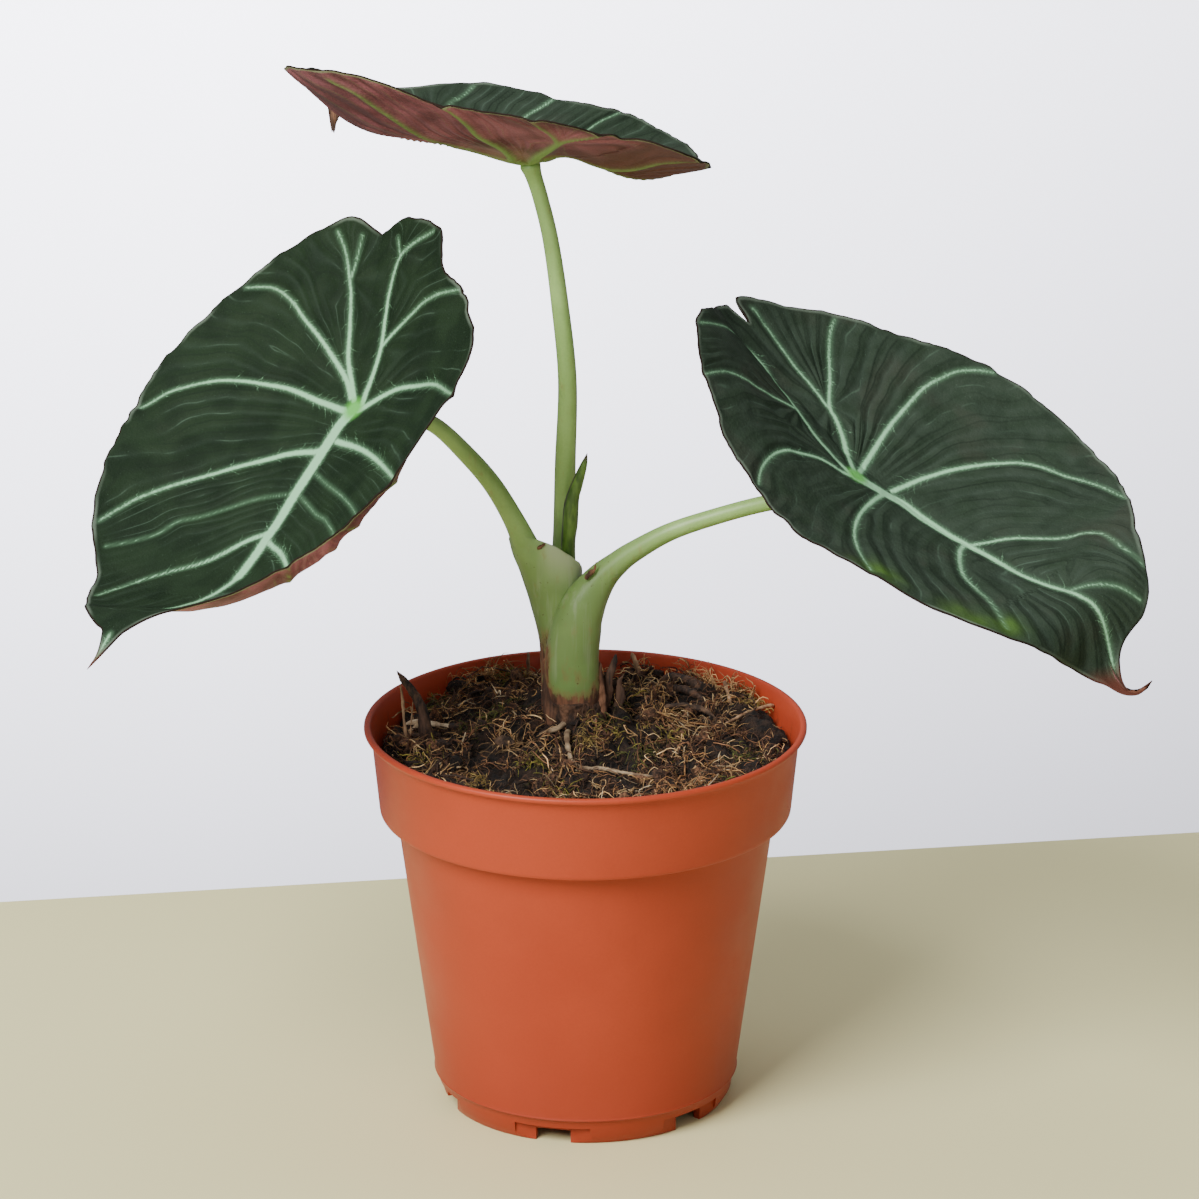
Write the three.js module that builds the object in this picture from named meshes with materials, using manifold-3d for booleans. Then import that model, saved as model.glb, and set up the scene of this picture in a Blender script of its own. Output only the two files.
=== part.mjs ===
// Potted alocasia: three peltate leaves, a rolled young leaf, stem base, roots, soil and nursery pot.
// Millimetres, +Z up. Origin: centre of the pot's underside, on the surface it stands on.
import * as THREE from 'three';
import { mergeVertices } from 'three/addons/utils/BufferGeometryUtils.js';
import Module from 'manifold-3d';

const wasm = await Module();
wasm.setup();

// Driving dimensions of the pot
const POT_HEIGHT = 107;
const LIP_R = 60;
const LIP_DEPTH = 2.4;
const COLLAR_TOP_R = 58;
const COLLAR_BOTTOM_R = 55.9;
const COLLAR_BOTTOM_Z = 83;
const BODY_TOP_R = 51.5;
const BODY_BOTTOM_R = 41.4;
const FOOT_TOP_Z = 8;
const FOOT_R = 40.6;
const BASE_R = 38.9;
const WALL = 1.1;
const PLATE_BOTTOM_Z = 4.8;
const PLATE_TOP_Z = 6.2;
const PAD_R = 9;
const NOTCHES = 6;
const NOTCH_START_DEG = -103.3;
const NOTCH_GAP = 9.6;
const NOTCH_HEIGHT = 4.6;
const RECESS_WIDTH = 21.6;
const RECESS_DEPTH = 1.1;
const DRAIN_R = 4;
const DRAIN_CIRCLE_R = 25;

// Driving dimensions of the planting
const GAP = 0.3;
const SOIL_EDGE_Z = 99.6;
const SOIL_MOUND = 8.4;
const SOIL_MOUND_SPREAD = 21;
const CROWN = [-2.5, 10];
const BLADE_THICKNESS = 0.8;
const BLADE_RAYS = 48;
const BLADE_RINGS = [0.22, 0.45, 0.66, 0.85, 1];

// Angles in degrees from the tip direction at which a blade's margin radius is given
const MARGIN_ANGLES = [0, 1.5, 3.5, 8, 16, 28, 42, 60, 80, 100, 120, 140, 155, 168, 180];
// Distances along the midrib at which its bend and its sideways sweep are given
const MIDRIB_STATIONS = [-60, 0, 45, 75, 92, 106, 120];

// Blades: where the stalk joins, the way the tip and the face point, margin radii on the left and the
// right of the midrib, midrib bend and sweep in radians, and the rise and curl of each half
const BLADES = {
  blade_left: {
    at: [-65.1, -10, 199.3],
    tip: [-0.332, -0.628, -0.703],
    face: [-0.526, -0.496, 0.691],
    left: [120, 109, 103, 96, 88, 78.5, 71.5, 58.5, 50.5, 49.5, 48.5, 50.5, 55.5, 54.5, 50.5],
    right: [120, 108, 105, 100, 89.5, 78.5, 74.5, 67, 61, 59.5, 57.5, 57, 58, 58.5, 50.5],
    bend: [0.31, 0, -0.21, -0.85, -1.07, -0.32, -0.02],
    sweep: [0.15, 0, -0.18, 0.04, 0.13, 0.07, -0.38],
    rise: [[0.05, -0.28], [0.05, -0.14]],
    curl: [[0.5, 1.27], [0.27, 0.35]],
    twist: -0.09,
  },
  blade_right: {
    at: [71.6, -10, 185],
    tip: [0.683, -0.515, -0.518],
    face: [0.406, -0.322, 0.855],
    left: [120, 99.5, 94, 91, 85.5, 78.5, 69, 61.5, 55, 51, 47, 48, 52, 55, 49.5],
    right: [120, 106, 102, 95.5, 89.5, 78, 69.5, 59, 53.5, 50.5, 52.5, 59, 61.5, 56, 49.5],
    bend: [0.26, 0, -0.36, -0.42, 0.76, -0.07, -1.71],
    sweep: [0.1, 0, -0.16, -0.03, 0.1, -0.42, 0.25],
    rise: [[0.16, 0.03], [0.29, -0.35]],
    curl: [[0.35, -0.81], [-0.22, 0.99]],
    twist: 0.35,
  },
  blade_top: {
    at: [-14.8, 10, 262.4],
    tip: [-0.716, 0.653, -0.246],
    face: [-0.06, 0.294, 0.954],
    left: [113.5, 91.5, 91.5, 87, 82.5, 78, 68.5, 65.5, 59, 44.5, 43.5, 48.5, 51.5, 42.5, 46.5],
    right: [113.5, 99, 91.5, 84, 73.5, 60.5, 53, 51, 53, 50, 45, 44.5, 49.5, 53, 46.5],
    bend: [0.08, 0, -0.33, -0.35, -0.62, 1.45, 1.84],
    sweep: [-0.6, 0, -0.5, -0.2, 0.3, 0.4, 0.3],
    rise: [[0.23, 0.13], [-0.11, 0.54]],
    curl: [[0.29, 0.38], [0.47, -0.09]],
    twist: -0.13,
  },
};

const soilColour = 0x3a2a1e;
const materials = {
  terracotta: new THREE.MeshStandardMaterial({ color: 0xb0592f, roughness: 0.45, metalness: 0 }),
  soil: new THREE.MeshStandardMaterial({ color: soilColour, roughness: 1, metalness: 0 }),
  blade: new THREE.MeshStandardMaterial({ color: 0x2c3f2c, roughness: 0.8, metalness: 0, side: 2 }),
  stalk: new THREE.MeshStandardMaterial({ color: 0x8ba765, roughness: 0.5, metalness: 0 }),
  young: new THREE.MeshStandardMaterial({ color: 0x4f7030, roughness: 0.5, metalness: 0 }),
  husk: new THREE.MeshStandardMaterial({ color: 0x7a5434, roughness: 0.8, metalness: 0 }),
  rhizome: new THREE.MeshStandardMaterial({ color: 0x6b4a30, roughness: 0.9, metalness: 0 }),
  root: new THREE.MeshStandardMaterial({ color: 0xb69a72, roughness: 0.8, metalness: 0 }),
  litter: new THREE.MeshStandardMaterial({ color: 0x7d5a3a, roughness: 0.95, metalness: 0 }),
};

// Monotone cubic interpolation through the points (xs, ys), flat beyond the ends
function monotone(xs, ys) {
  const n = xs.length;
  const slope = [];
  for (let i = 0; i < n - 1; i += 1) {
    slope.push((ys[i + 1] - ys[i]) / (xs[i + 1] - xs[i]));
  }
  const tangent = ys.map((unused, i) => {
    if (i === 0 || i === n - 1) {
      return slope[Math.min(i, n - 2)];
    }
    if (slope[i - 1] * slope[i] <= 0) {
      return 0;
    }
    return (2 * slope[i - 1] * slope[i]) / (slope[i - 1] + slope[i]);
  });
  return (x) => {
    const clamped = Math.min(Math.max(x, xs[0]), xs[n - 1]);
    let i = 0;
    while (i < n - 2 && clamped > xs[i + 1]) {
      i += 1;
    }
    const h = xs[i + 1] - xs[i];
    const t = (clamped - xs[i]) / h;
    const a = (1 + 2 * t) * (1 - t) ** 2 * ys[i] + t * (1 - t) ** 2 * h * tangent[i];
    const b = t * t * (3 - 2 * t) * ys[i + 1] + t * t * (t - 1) * h * tangent[i + 1];
    return a + b;
  };
}

// Closed mesh from flat lists of coordinates and triangle corners
function shell(positions, triangles) {
  const geometry = new THREE.BufferGeometry();
  geometry.setAttribute('position', new THREE.Float32BufferAttribute(positions, 3));
  geometry.setIndex(triangles);
  return geometry;
}

// Solid for joining and cutting, from any closed geometry
function toSolid(geometry) {
  const bare = geometry.clone();
  bare.deleteAttribute('normal');
  bare.deleteAttribute('uv');
  const merged = mergeVertices(bare, 1e-4);
  return new wasm.Manifold(new wasm.Mesh({
    numProp: 3,
    vertProperties: new Float32Array(merged.attributes.position.array),
    triVerts: new Uint32Array(merged.index.array),
  }));
}

// Geometry of a solid after its cuts
function toGeometry(solid) {
  const mesh = solid.getMesh();
  return shell(Array.from(mesh.vertProperties), Array.from(mesh.triVerts));
}

// Blade mapping: a point given along and across the flat blade goes to its place on the curved one
function bladeSurface(blade) {
  const bend = monotone(MIDRIB_STATIONS, blade.bend);
  const sweep = monotone(MIDRIB_STATIONS, blade.sweep);
  const frameAt = (a) => {
    const p = bend(a);
    const s = sweep(a);
    const tangent = new THREE.Vector3(Math.cos(p) * Math.cos(s), Math.cos(p) * Math.sin(s), -Math.sin(p));
    const up = new THREE.Vector3(Math.sin(p) * Math.cos(s), Math.sin(p) * Math.sin(s), Math.cos(p));
    return { tangent, up, side: new THREE.Vector3().crossVectors(up, tangent) };
  };
  const start = -70;
  const spine = [new THREE.Vector3()];
  for (let i = 1; i <= 200; i += 1) {
    const step = frameAt(start + i - 1).tangent.add(frameAt(start + i).tangent).multiplyScalar(0.5);
    spine.push(spine[i - 1].clone().add(step));
  }
  const origin = spine[-start].clone();
  const tip = new THREE.Vector3(...blade.tip).normalize();
  const face = new THREE.Vector3(...blade.face);
  face.addScaledVector(tip, -face.dot(tip)).normalize();
  const basis = new THREE.Matrix4().makeBasis(tip, new THREE.Vector3().crossVectors(face, tip), face);
  basis.setPosition(...blade.at);
  return (a, c) => {
    const half = c >= 0 ? 0 : 1;
    const u = Math.abs(c);
    const t = a / 100;
    const rise = blade.rise[half][0] + blade.rise[half][1] * t;
    const bendRate = (blade.curl[half][0] + blade.curl[half][1] * t) / 50;
    const turn = (bendRate * u) / 2;
    const chord = Math.abs(turn) < 1e-6 ? u : (u * Math.sin(turn)) / turn;
    const across = Math.sign(c) * chord * Math.cos(rise + turn);
    const height = chord * Math.sin(rise + turn);
    const twist = blade.twist * t;
    const y = across * Math.cos(twist) - height * Math.sin(twist);
    const h = across * Math.sin(twist) + height * Math.cos(twist);
    const i = Math.min(Math.max(Math.floor(a - start), 0), 199);
    const point = spine[i].clone().lerp(spine[i + 1], a - start - i).sub(origin);
    const frame = frameAt(a);
    return point.addScaledVector(frame.side, y).addScaledVector(frame.up, h).applyMatrix4(basis);
  };
}

// Blade as a thin closed sheet: rays from the stalk's joint to the margin, the same rings on both faces
function bladeGeometry(blade, thickness = BLADE_THICKNESS) {
  const surface = bladeSurface(blade);
  const radius = [monotone(MARGIN_ANGLES, blade.left), monotone(MARGIN_ANGLES, blade.right)];
  const half = BLADE_RAYS / 2;
  const anglesOneSide = [0, 1.5, 4, 9];
  for (let i = 1; anglesOneSide.length < half; i += 1) {
    anglesOneSide.push(9 + (171 * i) / (half - 4 + 1));
  }
  const rays = anglesOneSide.map((angle) => [angle, 0]);
  rays.push([180, 0]);
  for (let i = anglesOneSide.length - 1; i > 0; i -= 1) {
    rays.push([anglesOneSide[i], 1]);
  }
  const flat = [[0, 0]];
  BLADE_RINGS.forEach((fraction) => {
    rays.forEach(([angle, side]) => {
      const r = radius[side](angle) * fraction;
      const a = r * Math.cos((angle * Math.PI) / 180);
      const c = r * Math.sin((angle * Math.PI) / 180) * (side === 0 ? 1 : -1);
      flat.push([a, c]);
    });
  });
  const middle = flat.map(([a, c]) => surface(a, c));
  const count = rays.length;
  const faces = [];
  for (let k = 0; k < count; k += 1) {
    const next = (k + 1) % count;
    faces.push([0, 1 + k, 1 + next]);
    for (let r = 1; r < BLADE_RINGS.length; r += 1) {
      const inner = 1 + (r - 1) * count;
      const outer = 1 + r * count;
      faces.push([inner + k, outer + k, outer + next]);
      faces.push([inner + k, outer + next, inner + next]);
    }
  }
  const normals = middle.map(() => new THREE.Vector3());
  faces.forEach(([i, j, k]) => {
    const e1 = middle[j].clone().sub(middle[i]);
    const n = e1.cross(middle[k].clone().sub(middle[i]));
    [i, j, k].forEach((corner) => normals[corner].add(n));
  });
  const positions = [];
  [0.5, -0.5].forEach((sideOfSheet) => {
    middle.forEach((point, i) => {
      const shifted = point.clone().addScaledVector(normals[i].normalize(), sideOfSheet * thickness);
      positions.push(shifted.x, shifted.y, shifted.z);
    });
  });
  const total = middle.length;
  const triangles = [];
  faces.forEach(([i, j, k]) => {
    triangles.push(i, j, k, i + total, k + total, j + total);
  });
  const rim = 1 + (BLADE_RINGS.length - 1) * count;
  for (let k = 0; k < count; k += 1) {
    const i = rim + k;
    const j = rim + ((k + 1) % count);
    triangles.push(i, i + total, j + total, i, j + total, j);
  }
  return shell(positions, triangles);
}

// Round limb swept along a smooth curve: stations hold x, y, z and the radius; grow fattens it all over
function limb(stations, { sides = 12, steps = 16, grow = 0, flatten = 1 } = {}) {
  const curve = new THREE.CatmullRomCurve3(
    stations.map(([x, y, z]) => new THREE.Vector3(x, y, z)),
    false,
    'centripetal',
  );
  const radiusAt = monotone(
    stations.map((unused, i) => i / (stations.length - 1)),
    stations.map((station) => station[3]),
  );
  const positions = [];
  let side = null;
  for (let i = 0; i <= steps; i += 1) {
    const t = i / steps;
    const centre = curve.getPoint(t);
    const tangent = curve.getTangent(t);
    if (side === null) {
      side = new THREE.Vector3(1, 0, 0);
      if (Math.abs(tangent.x) > 0.9) {
        side.set(0, 1, 0);
      }
    }
    side.addScaledVector(tangent, -side.dot(tangent)).normalize();
    const other = new THREE.Vector3().crossVectors(tangent, side);
    if (i === 0) {
      centre.addScaledVector(tangent, -grow);
    }
    if (i === steps) {
      centre.addScaledVector(tangent, grow);
    }
    const r = radiusAt(t) + grow;
    for (let k = 0; k < sides; k += 1) {
      const angle = (2 * Math.PI * k) / sides;
      const point = centre.clone().addScaledVector(side, r * Math.cos(angle));
      point.addScaledVector(other, r * flatten * Math.sin(angle));
      positions.push(point.x, point.y, point.z);
    }
  }
  const first = curve.getPoint(0).addScaledVector(curve.getTangent(0), -grow);
  const last = curve.getPoint(1).addScaledVector(curve.getTangent(1), grow);
  const firstIndex = (steps + 1) * sides;
  positions.push(first.x, first.y, first.z, last.x, last.y, last.z);
  const triangles = [];
  for (let k = 0; k < sides; k += 1) {
    const next = (k + 1) % sides;
    triangles.push(firstIndex, next, k);
    triangles.push(firstIndex + 1, steps * sides + k, steps * sides + next);
    for (let i = 0; i < steps; i += 1) {
      const low = i * sides;
      const high = low + sides;
      triangles.push(low + k, low + next, high + next, low + k, high + next, high + k);
    }
  }
  return shell(positions, triangles);
}

// Gentle lumps used by the soil's surface
function lumps(x, y) {
  return 0.7 * Math.sin(x * 0.21 + 1.3) * Math.cos(y * 0.17 + 0.4)
    + 0.45 * Math.sin(x * 0.43 + y * 0.36 + 2.1)
    + 0.3 * Math.cos(x * 0.71 - y * 0.58 + 0.7);
}

// Height of the soil's surface
function soilTop(x, y) {
  const away = ((x - CROWN[0]) ** 2 + (y - CROWN[1]) ** 2) / (2 * SOIL_MOUND_SPREAD ** 2);
  return SOIL_EDGE_Z + SOIL_MOUND * Math.exp(-away) + 0.02 * y + 0.012 * x + lumps(x, y);
}

// Turned pot: outside going up, over the lip, then inside going down to the axis
function potSolid() {
  const profile = [
    [0, 0], [PAD_R, 0], [PAD_R + 1.2, PLATE_BOTTOM_Z],
    [36.6, PLATE_BOTTOM_Z], [36.2, 0],
    [BASE_R - 0.8, 0], [BASE_R, 0.6], [40.1, 2.6], [FOOT_R, FOOT_TOP_Z - 0.5],
    [BODY_BOTTOM_R, FOOT_TOP_Z], [BODY_TOP_R, COLLAR_BOTTOM_Z - 0.3],
    [COLLAR_BOTTOM_R - 0.3, COLLAR_BOTTOM_Z - 0.3], [COLLAR_BOTTOM_R, COLLAR_BOTTOM_Z + 0.2],
    [COLLAR_TOP_R, POT_HEIGHT - LIP_DEPTH], [LIP_R - 0.3, POT_HEIGHT - LIP_DEPTH],
    [LIP_R, POT_HEIGHT - LIP_DEPTH + 0.4], [LIP_R, POT_HEIGHT - 0.7], [LIP_R - 0.6, POT_HEIGHT],
    [COLLAR_TOP_R - 0.7, POT_HEIGHT], [COLLAR_TOP_R - WALL, POT_HEIGHT - 0.6],
    [COLLAR_BOTTOM_R - WALL, COLLAR_BOTTOM_Z + WALL], [BODY_TOP_R - WALL, COLLAR_BOTTOM_Z + WALL],
    [BODY_TOP_R - WALL - 0.2, COLLAR_BOTTOM_Z - 1], [BODY_BOTTOM_R - WALL, PLATE_TOP_Z + 3],
    [BODY_BOTTOM_R - WALL - 2, PLATE_TOP_Z], [0, PLATE_TOP_Z],
  ];
  const turned = new THREE.LatheGeometry(profile.map(([r, z]) => new THREE.Vector2(r, z)), 48);
  turned.rotateX(Math.PI / 2);
  let solid = toSolid(turned);
  for (let i = 0; i < NOTCHES; i += 1) {
    const angle = ((NOTCH_START_DEG + (360 / NOTCHES) * i) * Math.PI) / 180;
    const gap = new THREE.BoxGeometry(8, NOTCH_GAP, NOTCH_HEIGHT + 1);
    gap.translate(BASE_R - 1, 0, (NOTCH_HEIGHT - 1) / 2);
    gap.rotateZ(angle);
    const recess = new THREE.BoxGeometry(RECESS_DEPTH + 4, RECESS_WIDTH, NOTCH_HEIGHT + 1.6);
    recess.translate(BASE_R - RECESS_DEPTH + (RECESS_DEPTH + 4) / 2, 0, (NOTCH_HEIGHT - 0.4) / 2);
    recess.rotateZ(angle);
    const drain = new THREE.CylinderGeometry(DRAIN_R, DRAIN_R, 6, 14);
    drain.rotateX(Math.PI / 2);
    drain.translate(DRAIN_CIRCLE_R, 0, (PLATE_BOTTOM_Z + PLATE_TOP_Z) / 2);
    drain.rotateZ(angle + Math.PI / NOTCHES);
    solid = solid.subtract(toSolid(gap)).subtract(toSolid(recess)).subtract(toSolid(drain));
  }
  return solid;
}

// Soil that fills the pot and mounds up round the crown
function soilSolid() {
  const around = 36;
  const inner = [
    [0, PLATE_TOP_Z], [BODY_BOTTOM_R - WALL - 2, PLATE_TOP_Z], [BODY_BOTTOM_R - WALL, PLATE_TOP_Z + 3],
    [BODY_TOP_R - WALL - 0.2, COLLAR_BOTTOM_Z - 1],
    [BODY_TOP_R - WALL, COLLAR_BOTTOM_Z + WALL], [COLLAR_BOTTOM_R - WALL, COLLAR_BOTTOM_Z + WALL],
  ];
  const rings = inner.slice(1).map(([r, z]) => ({ r: r - GAP, z: () => z + GAP }));
  const wallR = COLLAR_TOP_R - WALL - 1;
  rings.push({ r: wallR, z: (x, y) => soilTop(x, y) - 0.8 });
  [0.97, 0.82, 0.66, 0.5, 0.34, 0.18].forEach((fraction) => {
    rings.push({ r: wallR * fraction, z: soilTop });
  });
  const positions = [0, 0, PLATE_TOP_Z + GAP];
  rings.forEach((ring) => {
    for (let k = 0; k < around; k += 1) {
      const angle = (2 * Math.PI * k) / around;
      const x = ring.r * Math.cos(angle);
      const y = ring.r * Math.sin(angle);
      positions.push(x, y, ring.z(x, y));
    }
  });
  positions.push(0, 0, soilTop(0, 0));
  const top = positions.length / 3 - 1;
  const triangles = [];
  for (let k = 0; k < around; k += 1) {
    const next = (k + 1) % around;
    triangles.push(0, 1 + next, 1 + k);
    for (let i = 0; i < rings.length - 1; i += 1) {
      const low = 1 + i * around;
      const high = low + around;
      triangles.push(low + k, low + next, high + next, low + k, high + next, high + k);
    }
    const last = 1 + (rings.length - 1) * around;
    triangles.push(last + k, last + next, top);
  }
  return toSolid(shell(positions, triangles));
}

// Stalks, from the crown into each blade's underside; the lowest part is the clasping sheath
const STALKS = {
  petiole_right: [
    [1.2, 4.5, 112, 5.2], [0, 4.3, 126, 5.5], [0.4, 4, 138.5, 5.2], [3.4, 3.5, 146.6, 4.4],
    [7.3, 3, 151, 3.4], [12.7, 2, 155.3, 2.8], [22.4, 0.5, 161.1, 2.3], [34, -1, 165.8, 2.15],
    [48.2, -5, 171.2, 2.2], [59, -11, 174.6, 2.2], [67, -15.6, 178.4, 2.4], [72.4, -18.6, 184, 2.6],
  ],
  petiole_left: [
    [-7, 6, 111, 5.4], [-7, 6, 126, 5], [-9.6, 5.5, 139, 4.8], [-12.8, 5, 148.6, 4.2],
    [-16.4, 4.5, 156.8, 3.2], [-19.5, 3.5, 164.5, 2.75], [-24.8, 2.5, 174.4, 2.5],
    [-31.5, 1, 183.2, 2.4], [-40.1, -2, 192.6, 2.2], [-49, -5, 197, 2.2], [-56.5, -8.2, 198.2, 2.4],
    [-62, -11.4, 201, 2.6],
  ],
  petiole_top: [
    [-4.5, 15, 112, 4.6], [-6.4, 15.5, 131.5, 3.8], [-5.8, 16, 156, 3], [-5.4, 16, 176, 2.85],
    [-4.8, 16, 199.8, 2.55], [-7.1, 16, 222.2, 2.35], [-9.5, 15.5, 239, 2.15], [-12.1, 15, 250.2, 2.1],
    [-14.9, 14.4, 261.2, 2.6],
  ],
  new_leaf: [
    [-3.2, 11.4, 121, 1.9], [-3.4, 11, 134, 2.2], [-3.9, 11, 152.6, 2], [-3.6, 10.6, 159, 1.9],
    [-2.9, 10, 167.7, 1.6], [-0.6, 9.6, 174.7, 1.1], [0.6, 9.4, 180.2, 0.35],
  ],
};

// Short thick rootstock that the sheaths wrap
const RHIZOME = [
  [-2.5, 10, 88, 3.5], [-2.5, 10, 93, 6.2], [-2.2, 9.6, 100, 7.6], [-2.2, 9.2, 107, 7.4],
  [-2.4, 9, 110.6, 6.4],
];

// Dry brown leaf bases still held on the rootstock
const HUSKS = {
  husk_left: [
    [-10.2, 8, 105.5, 1.6], [-12.4, 7.4, 112, 2.6], [-13.6, 6.8, 119, 2.4], [-14.4, 6.4, 126, 1.1],
  ],
  husk_right: [
    [5.6, 6.6, 104.5, 1.6], [7.2, 5.6, 110.5, 2.4], [8, 5, 117, 1.9], [8, 4.8, 122, 0.8],
  ],
};

// Roots that show on the soil, then the anchor roots inside it
const SURFACE_ROOTS = {
  surface_root_short: [
    [-0.5, 2.4, 106, 1], [-3, -0.5, 0, 1], [-7.4, -3.2, 0, 0.85], [-12.6, -5.6, 0, 0.5],
  ],
  surface_root_long: [
    [-4, 0.2, 103.2, 0.9], [-4.9, -7, 0, 0.9], [-4.5, -16, 0, 0.8], [-2, -22, 0, 0.75],
    [5, -24.5, 0, 0.7], [12, -26, 0, 0.6], [18.6, -27.4, 0, 0.35],
  ],
};
const ANCHOR_ROOTS = {
  root_1: [[-5, 9.4, 95, 1.1], [-10, 7.6, 91, 1.1], [-18, 4, 84, 1], [-27, 0, 70, 0.9], [-33, -3, 50, 0.7], [-34, -4, 30, 0.4]],
  root_2: [[0, 10.8, 95, 1.1], [5, 12.6, 91, 1.1], [12, 16, 82, 1], [22, 21, 68, 0.9], [29, 23, 46, 0.7], [30, 22, 26, 0.4]],
  root_3: [[-2.8, 12, 94, 1], [-4, 17, 89, 1], [-6, 22, 78, 1], [-9, 29, 62, 0.8], [-8, 34, 42, 0.6], [-4, 34, 24, 0.4]],
  root_4: [[-1.6, 8, 94, 1.1], [1.4, 3.2, 88, 1.1], [6, -4, 80, 1], [13, -14, 64, 0.9], [16, -24, 44, 0.7], [15, -30, 24, 0.4]],
  root_5: [[-3.6, 8.4, 93, 1], [-6.2, 3.4, 87, 1], [-9, -5, 74, 0.9], [-12, -14, 56, 0.8], [-11, -24, 36, 0.6], [-8, -29, 20, 0.4]],
};

// Bark and twig pieces lying on the soil: x, y, height above the soil and radius at each station
const LITTER = {
  bark_splinter: [[-49.5, 6.5, 0.6, 0.7], [-44, 6, 0.9, 1.1], [-39.5, 5, 0.7, 0.5]],
  bark_chip: [[-24.6, -6, 0.4, 1.6], [-21.8, -7.4, 0.6, 2], [-19.2, -8.2, 0.4, 1.3]],
  bark_curl: [[21.5, 15.5, 0.8, 1], [26.5, 19, 1.6, 1.5], [32.5, 19.5, 1.4, 1.3], [36, 16, 0.5, 0.8]],
  bark_shred: [[8.6, 17.4, 0.2, 1.6], [8.8, 18.2, 3.4, 1.5], [8.4, 19, 6.4, 0.7]],
};

const model = new THREE.Group();

// Adds a sub-part to the model
function place(name, geometry, material) {
  const mesh = new THREE.Mesh(geometry, material);
  mesh.name = name;
  model.add(mesh);
}

// Stations that follow the soil's surface where their height is given as 0
function onSoil(stations) {
  return stations.map(([x, y, z, r]) => [x, y, z === 0 ? soilTop(x, y) + r * 0.35 : z, r]);
}

// Litter stations with the height counted from the soil
function aboveSoil(stations) {
  return stations.map(([x, y, lift, r]) => [x, y, soilTop(x, y) + lift, r]);
}

place('pot', toGeometry(potSolid()), materials.terracotta);

let soil = soilSolid();
const clearOfSoil = (stations, options) => {
  soil = soil.subtract(toSolid(limb(stations, { ...options, grow: GAP })));
};

// The rootstock and its sheaths nest from the front to the back, each cut clear of those before it
let fitted = [];
const nest = (name, stations, material, options, carried = null) => {
  let solid = toSolid(limb(stations, options));
  fitted.forEach((other) => {
    solid = solid.subtract(other);
  });
  if (carried !== null) {
    solid = solid.subtract(toSolid(bladeGeometry(carried, BLADE_THICKNESS + 2 * GAP)));
  }
  const parts = solid.decompose().sort((p, q) => q.volume() - p.volume());
  place(name, toGeometry(parts[0]), material);
  fitted.push(toSolid(limb(stations, { ...options, grow: GAP })));
};

nest('rhizome', RHIZOME, materials.rhizome, { sides: 14, steps: 8 });
clearOfSoil(RHIZOME, { sides: 14, steps: 8 });
nest('petiole_right', STALKS.petiole_right, materials.stalk, { sides: 12, steps: 24 }, BLADES.blade_right);
nest('petiole_left', STALKS.petiole_left, materials.stalk, { sides: 12, steps: 24 }, BLADES.blade_left);
nest('petiole_top', STALKS.petiole_top, materials.stalk, { sides: 12, steps: 24 }, BLADES.blade_top);
nest('new_leaf', STALKS.new_leaf, materials.young, { sides: 12, steps: 16 });
Object.entries(HUSKS).forEach(([name, stations]) => {
  nest(name, stations, materials.husk, { sides: 12, steps: 8, flatten: 0.7 });
});

Object.entries(BLADES).forEach(([name, blade]) => {
  place(name, bladeGeometry(blade), materials.blade);
});

Object.entries(SURFACE_ROOTS).forEach(([name, stations]) => {
  const lying = onSoil(stations);
  nest(name, lying, materials.root, { sides: 7, steps: 14 });
  clearOfSoil(lying, { sides: 7, steps: 14 });
});
Object.entries(ANCHOR_ROOTS).forEach(([name, stations]) => {
  nest(name, stations, materials.root, { sides: 7, steps: 10 });
  clearOfSoil(stations, { sides: 7, steps: 10 });
});
Object.entries(LITTER).forEach(([name, stations]) => {
  const lying = aboveSoil(stations);
  nest(name, lying, materials.litter, { sides: 8, steps: 8, flatten: 0.5 });
  clearOfSoil(lying, { sides: 8, steps: 8, flatten: 0.5 });
});
Object.values(HUSKS).forEach((stations) => clearOfSoil(stations, { sides: 12, steps: 8, flatten: 0.7 }));

const soilParts = soil.decompose().sort((p, q) => q.volume() - p.volume());
place('potting_soil', toGeometry(soilParts[0]), materials.soil);

export default model;
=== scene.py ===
"""Looks of a potted alocasia: three shield leaves, a rolled young leaf, roots, soil and a nursery pot."""

import logging
import math
from dataclasses import dataclass
from enum import Enum
from typing import Callable, Iterable, Optional, Sequence

import bmesh
import bpy
import numpy as np
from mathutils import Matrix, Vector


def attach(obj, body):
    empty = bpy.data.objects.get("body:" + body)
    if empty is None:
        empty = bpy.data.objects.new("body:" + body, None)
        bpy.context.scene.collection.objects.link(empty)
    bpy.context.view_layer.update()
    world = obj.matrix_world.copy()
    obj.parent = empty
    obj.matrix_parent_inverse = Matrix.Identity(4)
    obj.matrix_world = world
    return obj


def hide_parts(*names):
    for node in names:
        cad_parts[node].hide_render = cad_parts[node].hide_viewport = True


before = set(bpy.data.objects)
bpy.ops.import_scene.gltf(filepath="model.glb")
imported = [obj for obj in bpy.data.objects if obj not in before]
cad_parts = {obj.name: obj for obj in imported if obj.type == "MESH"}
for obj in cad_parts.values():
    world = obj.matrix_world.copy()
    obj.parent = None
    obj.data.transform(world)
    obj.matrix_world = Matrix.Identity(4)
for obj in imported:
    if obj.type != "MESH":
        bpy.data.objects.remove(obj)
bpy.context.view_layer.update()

MM = 0.001
BODY = "root"
HASH_PRIMES = (73856093, 19349663, 83492791, 2654435761, 1274126177)
OCTAVE_SHIFT = 17.3
CURVE_PARTS = 16
TINY = 1e-9
log = logging.getLogger("alocasia")

Point = tuple[float, ...]
Colour = tuple[float, float, float]
Array = np.ndarray
Socket = bpy.types.NodeSocket
Face = tuple[int, ...]
Field = Callable[[Array, Array], Array]


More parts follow.
